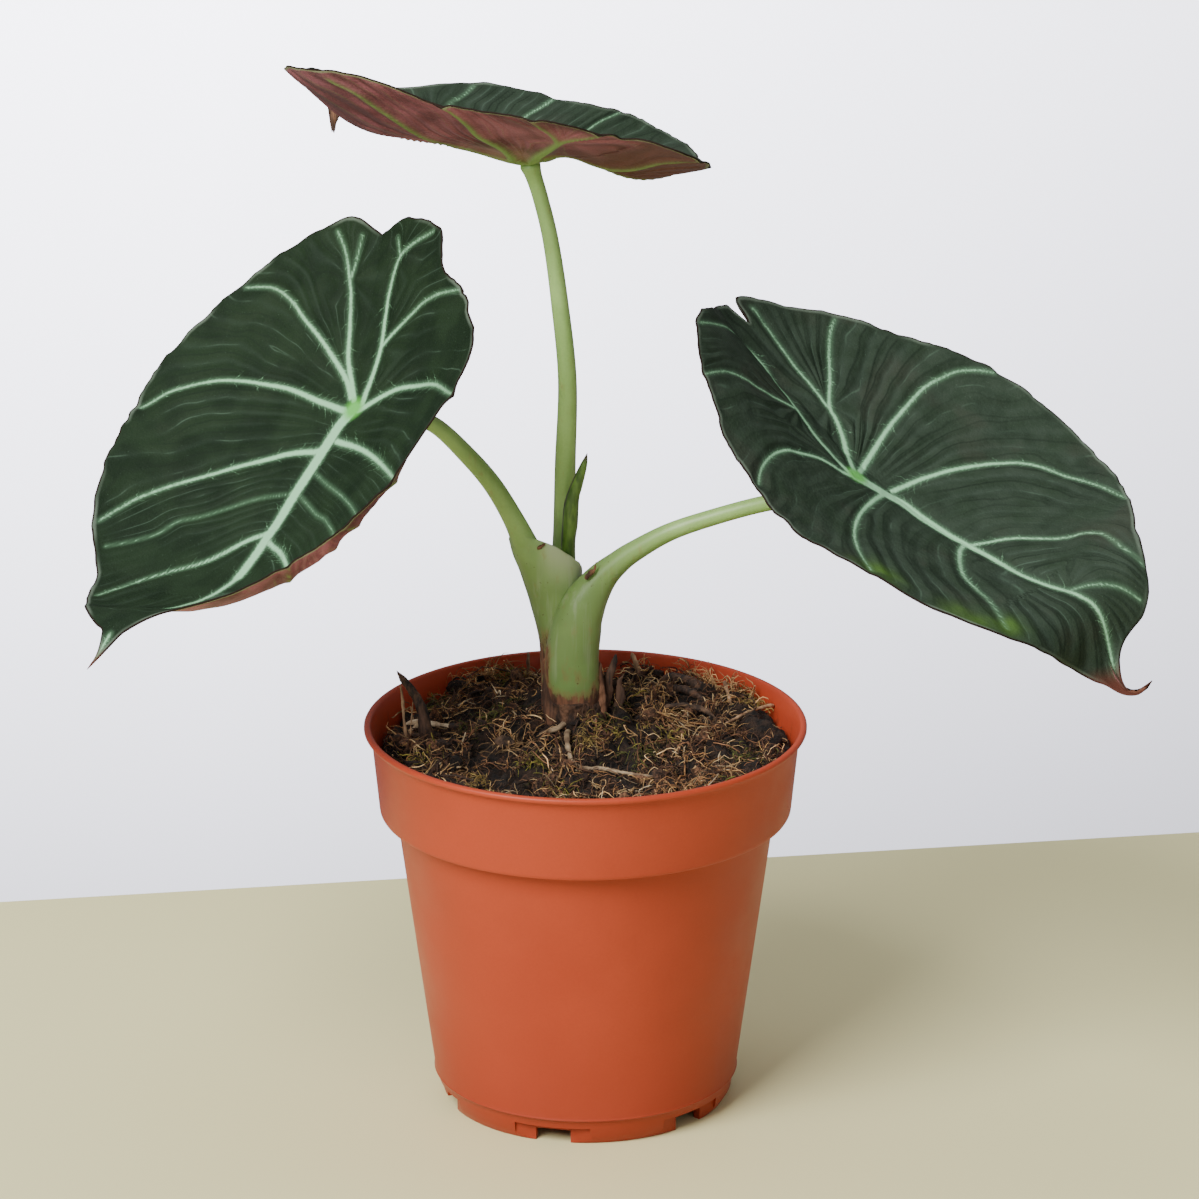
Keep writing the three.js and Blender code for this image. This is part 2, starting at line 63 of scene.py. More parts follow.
class Slot(Enum):
    """Material slots that the record names."""

    POT = "pot_plastic"
    SOIL = "soil"
    RHIZOME = "rhizome"
    PETIOLE = "petiole"
    BLADE = "blade_upper"
    YOUNG = "young_leaf"
    HUSK = "husk"
    ROOT = "root"
    BARK = "bark"


class Skin(Enum):
    """Skins that the loose pieces on the soil can have."""

    TWIG = "twig"
    SPLINTER = "splinter"
    HUSK = "husk"
    HUSK_DARK = "husk_dark"


def monotone(stations: Sequence[float], values: Sequence[float]) -> Callable[[Array], Array]:
    """Monotone cubic interpolation, flat beyond the ends.

    Args:
        stations: places where the values are given, in rising order.
        values: the value at each station.

    Returns:
        A function from places to values.
    """
    xs = np.asarray(stations, float)
    ys = np.asarray(values, float)
    slope = np.diff(ys) / np.diff(xs)
    tangent = np.concatenate([slope[:1], np.zeros(len(xs) - 2), slope[-1:]])
    before, after = slope[:-1], slope[1:]
    same = before * after > 0
    tangent[1:-1][same] = 2 * (before * after)[same] / (before + after)[same]

    def at(place: Array) -> Array:
        """Value at each place."""
        x = np.clip(np.asarray(place, float), xs[0], xs[-1])
        i = np.clip(np.searchsorted(xs, x) - 1, 0, len(xs) - 2)
        h = xs[i + 1] - xs[i]
        t = (x - xs[i]) / h
        low = (1 + 2 * t) * (1 - t) ** 2 * ys[i] + t * (1 - t) ** 2 * h * tangent[i]
        return low + t * t * (3 - 2 * t) * ys[i + 1] + t * t * (t - 1) * h * tangent[i + 1]

    return at


def smooth_course(points: Sequence[Point], step: float) -> Array:
    """Smooth curve through points, as evenly spread points.

    Args:
        points: corner points, each with the same number of coordinates.
        step: distance between the points given back, in the same unit.

    Returns:
        An array with one row for each point of the curve.
    """
    p = np.asarray(points, float)
    p = np.vstack([2 * p[0] - p[1], p, 2 * p[-1] - p[-2]])
    rows = []
    for a, b, c, d in zip(p[:-3], p[1:-2], p[2:-1], p[3:]):
        t = np.linspace(0, 1, CURVE_PARTS + 1)[:-1, None]
        rows.append(0.5 * (2 * b + (c - a) * t + (2 * a - 5 * b + 4 * c - d) * t ** 2
                           + (3 * b - a - 3 * c + d) * t ** 3))
    rows.append(p[-2:-1])
    fine = np.vstack(rows)
    run = run_length(fine[:, :3])
    count = max(2, int(math.ceil(run[-1] / step)) + 1)
    spread = np.linspace(0, run[-1], count)
    return np.stack([np.interp(spread, run, fine[:, k]) for k in range(fine.shape[1])], -1)


def run_length(points: Array) -> Array:
    """Distance run along a chain of points, starting at 0."""
    return np.concatenate([[0.0], np.cumsum(np.linalg.norm(np.diff(points, axis=0), axis=1))])


def ease(value: Array, low: float, high: float) -> Array:
    """Smooth step from 0 at low to 1 at high."""
    t = np.clip((value - low) / (high - low), 0, 1)
    return t * t * (3 - 2 * t)


def lattice(ix: Array, iy: Array, iz: Array, seed: int) -> Array:
    """Repeatable random number between -1 and 1 at each lattice corner."""
    first, second, third, fourth, last = HASH_PRIMES
    mix = (ix * first) ^ (iy * second) ^ (iz * third) ^ (seed * fourth % 2 ** 31)
    mix = (mix ^ (mix >> 13)) * last
    mix = mix ^ (mix >> 16)
    return (mix & 0xFFFF) / 32767.5 - 1.0


def noise(points: Array, size: float, seed: int = 0, octaves: int = 1) -> Array:
    """Smooth noise in space.

    Args:
        points: one row of x, y, z for each place.
        size: size of the largest lumps, in the unit of the points.
        seed: picks the pattern.
        octaves: layers, each half the size and half the strength of the one before.

    Returns:
        Values between about -1 and 1.
    """
    total = np.zeros(len(points))
    weight = 1.0
    for layer in range(octaves):
        q = points * (2 ** layer / size) + OCTAVE_SHIFT * layer
        base = np.floor(q).astype(np.int64)
        u = q - base
        u = u * u * u * (u * (u * 6 - 15) + 10)
        for corner in np.ndindex(2, 2, 2):
            share = np.prod(np.where(corner, u, 1 - u), axis=1)
            at = base + np.array(corner)
            total += weight * share * lattice(at[:, 0], at[:, 1], at[:, 2], seed + layer)
        weight *= 0.5
    return total


def rings_of(sections: Iterable[Point], angle: Array) -> Array:
    """Upright rings round the origin, one for each radius and height, as points."""
    return np.vstack([np.stack([r * np.cos(angle), r * np.sin(angle), np.full(len(angle), z)], -1)
                      for r, z in sections])


def joined_rings(rings: int, count: int, closed: bool = False) -> list[Face]:
    """Faces between rings of points that follow one another.

    Args:
        rings: how many rings.
        count: points on each ring.
        closed: whether the last ring joins the first one again.

    Returns:
        Corner numbers of each face.
    """
    faces = []
    for i in range(rings if closed else rings - 1):
        low, high = i * count, (i + 1) % rings * count
        for k in range(count):
            n = (k + 1) % count
            faces.append((low + k, low + n, high + n, high + k))
    return faces


@dataclass
class Shell:
    """A mesh being gathered: points in millimetres, faces, a material number for each face, fields."""

    points: list[Array]
    faces: list[Sequence[int]]
    looks: list[int]
    fields: dict[str, list[Array]]
    count: int = 0

    @classmethod
    def empty(cls) -> "Shell":
        """A shell with nothing in it."""
        return cls([], [], [], {})

    def add(self, points: Array, faces: Iterable[Sequence[int]], look: int = 0,
            **fields: Array | float) -> None:
        """Adds a patch.

        Args:
            points: one row of x, y, z for each point, in millimetres.
            faces: corner numbers, counted from this patch's first point.
            look: material number of the patch.
            fields: a value for each point, or one value for all of them.
        """
        start = self.count
        added = [tuple(start + int(i) for i in face) for face in faces]
        self.points.append(np.asarray(points, float))
        self.faces.extend(added)
        self.looks.extend([look] * len(added))
        for name, value in fields.items():
            column = np.broadcast_to(np.asarray(value, float), (len(points),) + np.shape(value)[1:])
            self.fields.setdefault(name, []).append(np.array(column))
        self.count += len(points)

    def piece(self, name: str, slot: Slot, materials: Sequence[bpy.types.Material],
              replaced: Sequence[str] = (), sharp: Optional[float] = None) -> bpy.types.Object:
        """Makes the object and seats it on the frame.

        Args:
            name: the piece's name.
            slot: the record's material slot that its finish comes from; not used.
            materials: its materials, in the order of their numbers.
            replaced: CAD nodes that it stands for.
            sharp: edges steeper than this many degrees stay sharp, or None for a smooth skin.

        Returns:
            The object.
        """
        mesh = bpy.data.meshes.new(name)
        mesh.from_pydata((np.vstack(self.points) * MM).tolist(), [], self.faces)
        for field_name, parts in self.fields.items():
            values = np.concatenate(parts)
            kind = "FLOAT" if values.ndim == 1 else "FLOAT_VECTOR"
            layer = mesh.attributes.new(field_name, kind, "POINT")
            layer.data.foreach_set("value" if values.ndim == 1 else "vector", values.ravel())
        for material in materials:
            mesh.materials.append(material)
        mesh.polygons.foreach_set("material_index", self.looks)
        mesh.shade_smooth()
        if sharp is not None:
            mesh.set_sharp_from_angle(angle=math.radians(sharp))
        mesh.update()
        made = bpy.data.objects.new(name, mesh)
        bpy.context.scene.collection.objects.link(made)
        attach(made, BODY)
        if replaced:
            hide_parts(*replaced)
        log.info("%s: %d faces", name, len(self.faces))
        return made


class Sheet:
    """A material's node tree, with short calls for the nodes that the finishes use."""

    def __init__(self, name: str) -> None:
        """Starts a material with a Principled shader."""
        self.material = bpy.data.materials.new(name)
        self.material.use_nodes = True
        self.tree = self.material.node_tree
        self.shader = self.tree.nodes["Principled BSDF"]

    def node(self, kind: str, **settings: object) -> bpy.types.Node:
        """Adds a node and sets its properties."""
        made = self.tree.nodes.new(kind)
        for key, value in settings.items():
            setattr(made, key, value)
        return made

    def feed(self, socket: Socket, value: object) -> None:
        """Links a socket to an input, or sets the input's value."""
        if isinstance(value, bpy.types.NodeSocket):
            self.tree.links.new(value, socket)
        elif isinstance(value, tuple) and len(value) == 3 and socket.type == "RGBA":
            socket.default_value = (*value, 1.0)
        else:
            socket.default_value = value

    def math(self, operation: str, *values: object, clamp: bool = False) -> Socket:
        """Math node's result."""
        made = self.node("ShaderNodeMath", operation=operation, use_clamp=clamp)
        for socket, value in zip(made.inputs, values):
            self.feed(socket, value)
        return made.outputs[0]

    def times(self, first: object, second: object) -> Socket:
        """Product of two values."""
        return self.math("MULTIPLY", first, second)

    def fold(self, value: object) -> Socket:
        """0.5 where the value is a whole number, 0 halfway between two of them."""
        return self.math("ABSOLUTE", self.math("SUBTRACT", self.math("FRACT", value), 0.5))

    def band(self, value: object, low: object, high: object, start: float = 0.0, end: float = 1.0) -> Socket:
        """Smooth change from start to end while the value goes from low to high."""
        made = self.node("ShaderNodeMapRange", interpolation_type="SMOOTHSTEP")
        for name, given in (("Value", value), ("From Min", low), ("From Max", high),
                            ("To Min", start), ("To Max", end)):
            self.feed(made.inputs[name], given)
        return made.outputs[0]

    def mix(self, share: object, first: object, second: object, kind: str = "MIX") -> Socket:
        """Mix of two colours."""
        made = self.node("ShaderNodeMix", data_type="RGBA", blend_type=kind)
        self.feed(made.inputs[0], share)
        self.feed(made.inputs[6], first)
        self.feed(made.inputs[7], second)
        return made.outputs[2]

    def coat(self, colour: Socket, mask: Socket, strength: float, tint: object) -> Socket:
        """Colour with a tint laid over it, at this strength, where the mask is."""
        return self.mix(self.times(mask, strength), colour, tint)

    def field(self, name: str, vector: bool = False) -> Socket:
        """A field kept on the mesh."""
        made = self.node("ShaderNodeAttribute", attribute_name=name)
        return made.outputs["Vector" if vector else "Fac"]

    def place(self) -> Socket:
        """Coordinates on the object, in metres."""
        return self.node("ShaderNodeTexCoord").outputs["Object"]

    def grain(self, place: Socket, per_unit: float, detail: float = 2.0, rough: float = 0.5,
              stretch: Point = (1.0, 1.0, 1.0), warp: float = 0.0) -> Socket:
        """Noise between 0 and 1.

        Args:
            place: where to read it.
            per_unit: lumps in one unit of the place.
            detail: layers of finer noise.
            rough: how strong the finer layers are.
            stretch: multiplies the place along x, y and z.
            warp: twists the pattern.

        Returns:
            The noise.
        """
        if stretch != (1.0, 1.0, 1.0):
            mapping = self.node("ShaderNodeMapping")
            mapping.inputs["Scale"].default_value = stretch
            self.feed(mapping.inputs["Vector"], place)
            place = mapping.outputs[0]
        made = self.node("ShaderNodeTexNoise")
        self.feed(made.inputs["Vector"], place)
        made.inputs["Scale"].default_value = per_unit
        made.inputs["Detail"].default_value = detail
        made.inputs["Roughness"].default_value = rough
        made.inputs["Distortion"].default_value = warp
        return made.outputs[0]

    def bump(self, height: Socket, strength: float, depth: float, under: Optional[Socket] = None) -> Socket:
        """Bumped normal.

        Args:
            height: height between 0 and 1.
            strength: how much of it shows.
            depth: height of a full step, in metres.
            under: a normal that this one is laid over.

        Returns:
            The normal.
        """
        made = self.node("ShaderNodeBump")
        made.inputs["Strength"].default_value = strength
        made.inputs["Distance"].default_value = depth
        self.feed(made.inputs["Height"], height)
        if under is not None:
            self.feed(made.inputs["Normal"], under)
        return made.outputs[0]

    def use(self, group: bpy.types.NodeTree, **values: object) -> bpy.types.Node:
        """Places a shared effect with its own values."""
        made = self.node("ShaderNodeGroup", node_tree=group)
        for key, value in values.items():
            self.feed(made.inputs[key.replace("_", " ")], value)
        return made

    def set(self, **values: object) -> bpy.types.Material:
        """Feeds the shader's sockets and gives the finished material."""
        for key, value in values.items():
            self.feed(self.shader.inputs[key.replace("_", " ")], value)
        return self.material


class Effect(Sheet):
    """A shader node group that several finishes share."""

    def __init__(self, name: str, inputs: dict[str, tuple[str, object]], outputs: dict[str, str]) -> None:
        """Starts a group with named inputs and outputs.

        Args:
            name: the group's name.
            inputs: each input's socket type and its usual value.
            outputs: each output's socket type.
        """
        self.tree = bpy.data.node_groups.new(name, "ShaderNodeTree")
        for key, (kind, usual) in inputs.items():
            made = self.tree.interface.new_socket(name=key, in_out="INPUT", socket_type=kind)
            if usual is not None:
                made.default_value = usual
        for key, kind in outputs.items():
            self.tree.interface.new_socket(name=key, in_out="OUTPUT", socket_type=kind)
        self.given = self.tree.nodes.new("NodeGroupInput").outputs
        self.result = self.tree.nodes.new("NodeGroupOutput").inputs

    def done(self, **values: Socket) -> bpy.types.NodeTree:
        """Feeds the outputs and gives the group."""
        for key, value in values.items():
            self.feed(self.result[key.replace("_", " ")], value)
        return self.tree


def mottle_effect() -> bpy.types.NodeTree:
    """Two colours clouded into each other, with a finer grain over them.

    Returns:
        A group with the clouded colour and the height of the fine grain.
    """
    kinds = {
        "Place": ("NodeSocketVector", None), "Cloud": ("NodeSocketFloat", 60.0),
        "Grain": ("NodeSocketFloat", 900.0), "Light": ("NodeSocketColor", None),
        "Dark": ("NodeSocketColor", None), "Speck": ("NodeSocketFloat", 0.15),
    }
    e = Effect("clouded_colour", kinds, {"Colour": "NodeSocketColor", "Height": "NodeSocketFloat"})
    cloud = e.node("ShaderNodeTexNoise")
    e.feed(cloud.inputs["Vector"], e.given["Place"])
    e.feed(cloud.inputs["Scale"], e.given["Cloud"])
    cloud.inputs["Detail"].default_value = 4.0
    fine = e.node("ShaderNodeTexNoise")
    e.feed(fine.inputs["Vector"], e.given["Place"])
    e.feed(fine.inputs["Scale"], e.given["Grain"])
    fine.inputs["Detail"].default_value = 3.0
    share = e.band(cloud.outputs[0], 0.34, 0.66)
    base = e.mix(share, e.given["Dark"], e.given["Light"])
    swing = e.times(e.math("SUBTRACT", fine.outputs[0], 0.5), e.times(e.given["Speck"], 4.0))
    lift = e.math("ADD", 1.0, swing)
    grey = e.node("ShaderNodeCombineColor")
    for socket in grey.inputs:
        e.feed(socket, lift)
    return e.done(Colour=e.mix(1.0, base, grey.outputs[0], "MULTIPLY"), Height=fine.outputs[0])


def vein_effect() -> bpy.types.NodeTree:
    """Masks of a blade's main veins, from the distance to their edges and the run along them.

    Returns:
        A group with the vein's body, the short side hairs that leave it, and the haze round it.
    """
    number = "NodeSocketFloat"
    kinds = {
        "Gap": (number, 1.0), "Run": (number, 0.0), "Place": ("NodeSocketVector", None),
        "Size": (number, 1.0), "Soft": (number, 0.26), "Spacing": (number, 1.15), "Length": (number, 3.8),
    }
    e = Effect("vein_masks", kinds, {"Body": number, "Hairs": number, "Haze": number})
    ragged = e.node("ShaderNodeTexNoise")
    e.feed(ragged.inputs["Vector"], e.given["Place"])
    ragged.inputs["Scale"].default_value = 1.1
    ragged.inputs["Detail"].default_value = 4.0
    shift = e.math("SUBTRACT", ragged.outputs[0], 0.5)
    gap = e.math("ADD", e.given["Gap"], e.times(shift, 0.55))
    body = e.band(gap, e.given["Soft"], e.times(e.given["Soft"], -1.9))
    slanted = e.math("ADD", e.given["Run"], e.times(e.given["Gap"], 0.9))
    beat = e.math("ADD", e.math("DIVIDE", slanted, e.given["Spacing"]), e.times(shift, 2.2))
    chance = e.node("ShaderNodeTexWhiteNoise", noise_dimensions="1D")
    e.feed(chance.inputs["W"], e.math("FLOOR", beat))
    share = e.math("ADD", 0.2, e.times(e.math("POWER", chance.outputs[0], 4.0), 1.5))
    near = e.band(e.given["Gap"], e.times(e.times(e.given["Length"], e.given["Size"]), share), 0.0)
    hairs = e.times(e.band(e.fold(beat), e.times(near, 0.13), 0.0), near)
    haze = e.math("POWER", e.band(gap, 1.9, -0.2), 2.0)
    return e.done(Body=body, Hairs=hairs, Haze=haze)


@dataclass(frozen=True)
class LeafUpperFinish:
    """Velvety dark upper side with mint veins."""

    deep: Colour = (0.0045, 0.0125, 0.0042)
    mid: Colour = (0.0105, 0.0235, 0.0090)
    grey: Colour = (0.0360, 0.0530, 0.0370)
    brown: Colour = (0.0370, 0.0400, 0.0290)
    # painted shade and painted sheen of the quilting; the pale colour also gives fine pale specks
    painted_groove_shade: Colour = (0.0055, 0.0110, 0.0060)
    sheen_and_speck: Colour = (0.0900, 0.1250, 0.1050)
    vein: Colour = (0.3000, 0.6000, 0.3500)
    hub: Colour = (0.1000, 0.4200, 0.0550)
    hair: Colour = (0.1300, 0.2200, 0.1500)
    rim_dark: Colour = (0.0180, 0.0110, 0.0080)
    rim_pale: Colour = (0.1700, 0.2200, 0.1700)
    yellow: Colour = (0.0700, 0.1500, 0.0240)
    tip: Colour = (0.0900, 0.0300, 0.0200)
    cloud: float = 0.085
    grain: float = 2.6
    quilt_depth: float = 0.0005
    pucker_depth: float = 0.0005
    velvet_depth: float = 0.0002
    vein_depth: float = 0.00025
    specular: float = 0.07

    def make(self, name: str, effects: "Effects") -> bpy.types.Material:
        """Builds the material.

        Args:
            name: its name.
            effects: the shared shader groups.

        Returns:
            The material.
        """
        s = Sheet(name)
        flat = s.field("flat", vector=True)
        ridge, edge, bloom = s.field("ridge"), s.field("margin_gap"), s.field("bloom")
        cloud = s.use(effects.mottle, Place=flat, Cloud=self.cloud, Grain=self.grain, Light=self.mid,
                      Dark=self.deep, Speck=0.2)
        # painted sheen: each leaf's share of grey, clouded by noise, is mixed over the green in place of the
        # velvet's grey sheen
        painted_sheen = s.times(bloom, s.band(s.grain(flat, 0.13, 4.0, 0.6), 0.25, 0.7, 0.45, 1.0))
        colour = s.mix(painted_sheen, cloud.outputs["Colour"], self.grey)
        tan = s.times(s.band(s.grain(flat, 0.05, 3.0, 0.55), 0.52, 0.68), bloom)
        colour = s.coat(colour, tan, 0.6, self.brown)
        wave, strength = s.fold(ridge), s.field("ridge_depth")
        # painted sheen along the ridge lines and painted shade halfway between them, standing in for the
        # quilting's light and shade
        colour = s.coat(colour, s.times(s.band(wave, 0.2, 0.5), strength), 0.12, self.sheen_and_speck)
        colour = s.coat(colour, s.times(s.band(wave, 0.1, 0.0), strength), 0.7, self.painted_groove_shade)
        # the same pale colour in fine noise gives pale velvet specks
        colour = s.coat(colour, s.band(s.grain(flat, 3.4, 3.0, 0.7), 0.42, 0.7), 0.08, self.sheen_and_speck)
        patchy = s.band(s.grain(flat, 0.07, 3.0, 0.6), 0.47, 0.68)
        colour = s.coat(colour, s.times(s.band(wave, 0.44, 0.495), patchy), 0.26, self.hair)
        colour = s.coat(colour, s.band(s.grain(flat, 2.4, 1.0), 0.7, 0.8), 0.3, self.hair)
        colour = s.coat(colour, s.field("yellow"), 0.85, self.yellow)
        veins = s.use(effects.veins, Gap=s.field("vein_gap"), Run=s.field("vein_run"), Place=flat,
                      Size=s.field("vein_size"))
        for mask, share in (("Haze", 0.14), ("Hairs", 0.5), ("Body", 0.94)):
            colour = s.coat(colour, veins.outputs[mask], share, self.vein)
        colour = s.coat(colour, s.band(s.field("hub_gap"), 4.6, 1.4), 0.85, self.hub)
        pale = s.times(s.band(edge, 1.3, 0.5), s.band(s.grain(flat, 0.05, 1.0), 0.4, 0.6))
        colour = s.coat(colour, pale, 0.5, self.rim_pale)
        colour = s.mix(s.band(edge, 0.4, 0.12), colour, self.rim_dark)
        colour = s.mix(s.field("tail"), colour, self.tip)
        quilt = s.times(s.math("COSINE", s.times(ridge, 2 * math.pi)), strength)
        normal = s.bump(s.math("ADD", 0.5, s.times(quilt, -0.5)), 0.6, self.quilt_depth)
        normal = s.bump(s.grain(flat, 0.75, 3.0, 0.6), 0.5, self.pucker_depth, normal)
        normal = s.bump(s.grain(flat, 4.5, 2.0), 0.3, self.velvet_depth, normal)
        normal = s.bump(veins.outputs["Body"], 0.3, self.vein_depth, normal)
        rough = s.band(veins.outputs["Body"], 0.0, 1.0, 0.6, 0.5)
        return s.set(Base_Color=colour, Roughness=rough, Normal=normal, Specular_IOR_Level=self.specular)


@dataclass(frozen=True)
class LeafUnderFinish:
    """Dusty maroon underside with green ribs, and painted shade on the basal lobes."""

    maroon: Colour = (0.3150, 0.1080, 0.1420)
    dusk: Colour = (0.1150, 0.0380, 0.0450)
    painted_lobe_shade: Colour = (0.1050, 0.0430, 0.0300)
    green: Colour = (0.1300, 0.2000, 0.0600)
    rib: Colour = (0.2000, 0.3300, 0.0950)
    rim: Colour = (0.2000, 0.2100, 0.1150)
    tip: Colour = (0.1200, 0.0450, 0.0250)
    cloud: float = 0.07
    grain: float = 1.6
    rib_growth: float = 0.4
    quilt_depth: float = 0.0009
    pucker_depth: float = 0.0006
    specular: float = 0.2

    def make(self, name: str, effects: "Effects") -> bpy.types.Material:
        """Builds the material.

        Args:
            name: its name.
            effects: the shared shader groups.

        Returns:
            The material.
        """
        s = Sheet(name)
        flat = s.field("flat", vector=True)
        ridge, strength = s.field("ridge"), s.field("ridge_depth")
        cloud = s.use(effects.mottle, Place=flat, Cloud=self.cloud, Grain=self.grain, Light=self.maroon,
                      Dark=self.dusk, Speck=0.24)
        wave = s.fold(ridge)
        lines = s.times(s.band(wave, 0.4, 0.49), s.band(s.grain(flat, 0.13, 2.0), 0.4, 0.6))
        colour = s.mix(s.times(s.band(wave, 0.22, 0.02), strength), cloud.outputs["Colour"], self.dusk)
        colour = s.coat(colour, lines, 0.25, self.green)
        colour = s.coat(colour, s.band(s.field("hub_gap"), 22.0, 3.0), 0.4, self.green)
        # painted shade: the basal lobes are darkened brown where they lie in shadow
        colour = s.coat(colour, s.field("lobe"), 0.85, self.painted_lobe_shade)
        wider = s.math("SUBTRACT", s.field("vein_gap"), self.rib_growth)
        veins = s.use(effects.veins, Gap=wider, Run=s.field("vein_run"), Place=flat,
                      Size=s.field("vein_size"), Soft=0.4, Spacing=3.6, Length=4.0)
        coats = (("Haze", 0.25, self.green), ("Hairs", 0.35, self.green), ("Body", 0.95, self.rib))
        for mask, share, tint in coats:
            colour = s.coat(colour, veins.outputs[mask], share, tint)
        colour = s.mix(s.band(s.field("margin_gap"), 1.0, 0.3), colour, self.rim)
        colour = s.mix(s.field("tail"), colour, self.tip)
        quilt = s.times(s.math("COSINE", s.times(ridge, 2 * math.pi)), strength)
        normal = s.bump(s.math("ADD", 0.5, s.times(quilt, 0.5)), 1.0, self.quilt_depth)
        normal = s.bump(s.grain(flat, 1.3, 3.0), 0.4, self.pucker_depth, normal)
        return s.set(Base_Color=colour, Roughness=0.55, Normal=normal, Specular_IOR_Level=self.specular)


@dataclass(frozen=True)
class StalkFinish:
    """Smooth pale green stalk with fine lengthwise streaks, brown and papery near the soil."""

    light: Colour = (0.2900, 0.4700, 0.1500)
    shade: Colour = (0.2250, 0.3800, 0.1100)
    sheath: Colour = (0.1550, 0.2550, 0.0760)
    film: Colour = (0.4000, 0.4600, 0.2900)
    scurf: Colour = (0.2700, 0.3500, 0.1900)
    stain: Colour = (0.2600, 0.1500, 0.0600)
    papery: Colour = (0.2100, 0.0900, 0.0450)
    dry: Colour = (0.0650, 0.0300, 0.0170)
    fleck: Colour = (0.0700, 0.0350, 0.0180)
    cloud: float = 70.0
    grain: float = 1500.0
    streak_depth: float = 0.0002

    def make(self, name: str, effects: "Effects") -> bpy.types.Material:
        """Builds the material.

        Args:
            name: its name.
            effects: the shared shader groups.

        Returns:
            The material.
        """
        s = Sheet(name)
        place = s.place()
        cloud = s.use(effects.mottle, Place=place, Cloud=self.cloud, Grain=self.grain, Light=self.light,
                      Dark=self.shade, Speck=0.05)
        streak = s.band(s.grain(place, 1.0, 3.0, 0.6, (900.0, 900.0, 60.0)), 0.35, 0.7)
        colour = s.coat(cloud.outputs["Colour"], streak, 0.28, self.light)
        clasping = s.field("sheath")
        base = s.times(clasping, s.band(s.grain(place, 140.0, 3.0), 0.2, 0.6, 0.7, 1.0))
        colour = s.mix(base, colour, self.sheath)
        bands = s.band(s.grain(place, 1.0, 3.0, 0.6, (520.0, 520.0, 26.0)), 0.5, 0.72)
        colour = s.coat(colour, s.times(bands, clasping), 0.6, self.scurf)
        colour = s.mix(s.field("film"), colour, self.film)
        patches = s.grain(place, 1.0, 5.0, 0.65, (460.0, 460.0, 190.0))
        aged = s.math("ADD", s.field("old"), s.times(s.math("SUBTRACT", patches, 0.5), 1.9))
        colour = s.coat(colour, s.band(aged, 0.1, 0.55), 0.45, self.stain)
        fibres = s.band(s.grain(place, 1.0, 3.0, 0.6, (700.0, 700.0, 120.0)), 0.4, 0.62)
        old = s.band(aged, 0.45, 0.85)
        colour = s.mix(old, colour, s.mix(fibres, self.dry, self.papery))
        specks = s.band(s.grain(place, 900.0, 2.0), 0.71, 0.76)
        colour = s.mix(s.times(specks, s.band(clasping, 0.0, 0.6, 0.25, 0.8)), colour, self.fleck)
        normal = s.bump(s.grain(place, 1.0, 2.0, 0.5, (1600.0, 1600.0, 90.0)), 0.1, self.streak_depth)
        rough = s.band(old, 0.0, 1.0, 0.42, 0.8)
        return s.set(Base_Color=colour, Roughness=rough, Normal=normal, Subsurface_Weight=0.12,
                     Subsurface_Radius=(0.002, 0.003, 0.001), Subsurface_Scale=1.0)


@dataclass(frozen=True)
class PlainFinish:
    """Natural matt skin with clouds of two colours, streaks and bumps."""

    light: Colour
    dark: Colour
    roughness: float = 0.85
    cloud: float = 300.0
    grain: float = 1800.0
    speck: float = 0.2
    stretch: Point = (1.0, 1.0, 1.0)
    bump: float = 0.6
    depth: float = 0.0004
    tone: Optional[Colour] = None
    tinted: bool = False

    def make(self, name: str, effects: "Effects") -> bpy.types.Material:
        """Builds the material.

        Args:
            name: its name.
            effects: the shared shader groups.

        Returns:
            The material.
        """
        s = Sheet(name)
        mapping = s.node("ShaderNodeMapping")
        mapping.inputs["Scale"].default_value = self.stretch
        s.feed(mapping.inputs["Vector"], s.place())
        place = mapping.outputs[0]
        cloud = s.use(effects.mottle, Place=place, Cloud=self.cloud, Grain=self.grain, Light=self.light,
                      Dark=self.dark, Speck=self.speck)
        colour = cloud.outputs["Colour"]
        if self.tone is not None:
            colour = s.mix(s.band(s.field("tone"), 0.35, 0.75), colour, self.tone)
        if self.tinted:
            colour = s.mix(1.0, colour, s.field("tint", vector=True), "MULTIPLY")
        normal = s.bump(cloud.outputs["Height"], self.bump, self.depth)
        return s.set(Base_Color=colour, Roughness=self.roughness, Normal=normal)


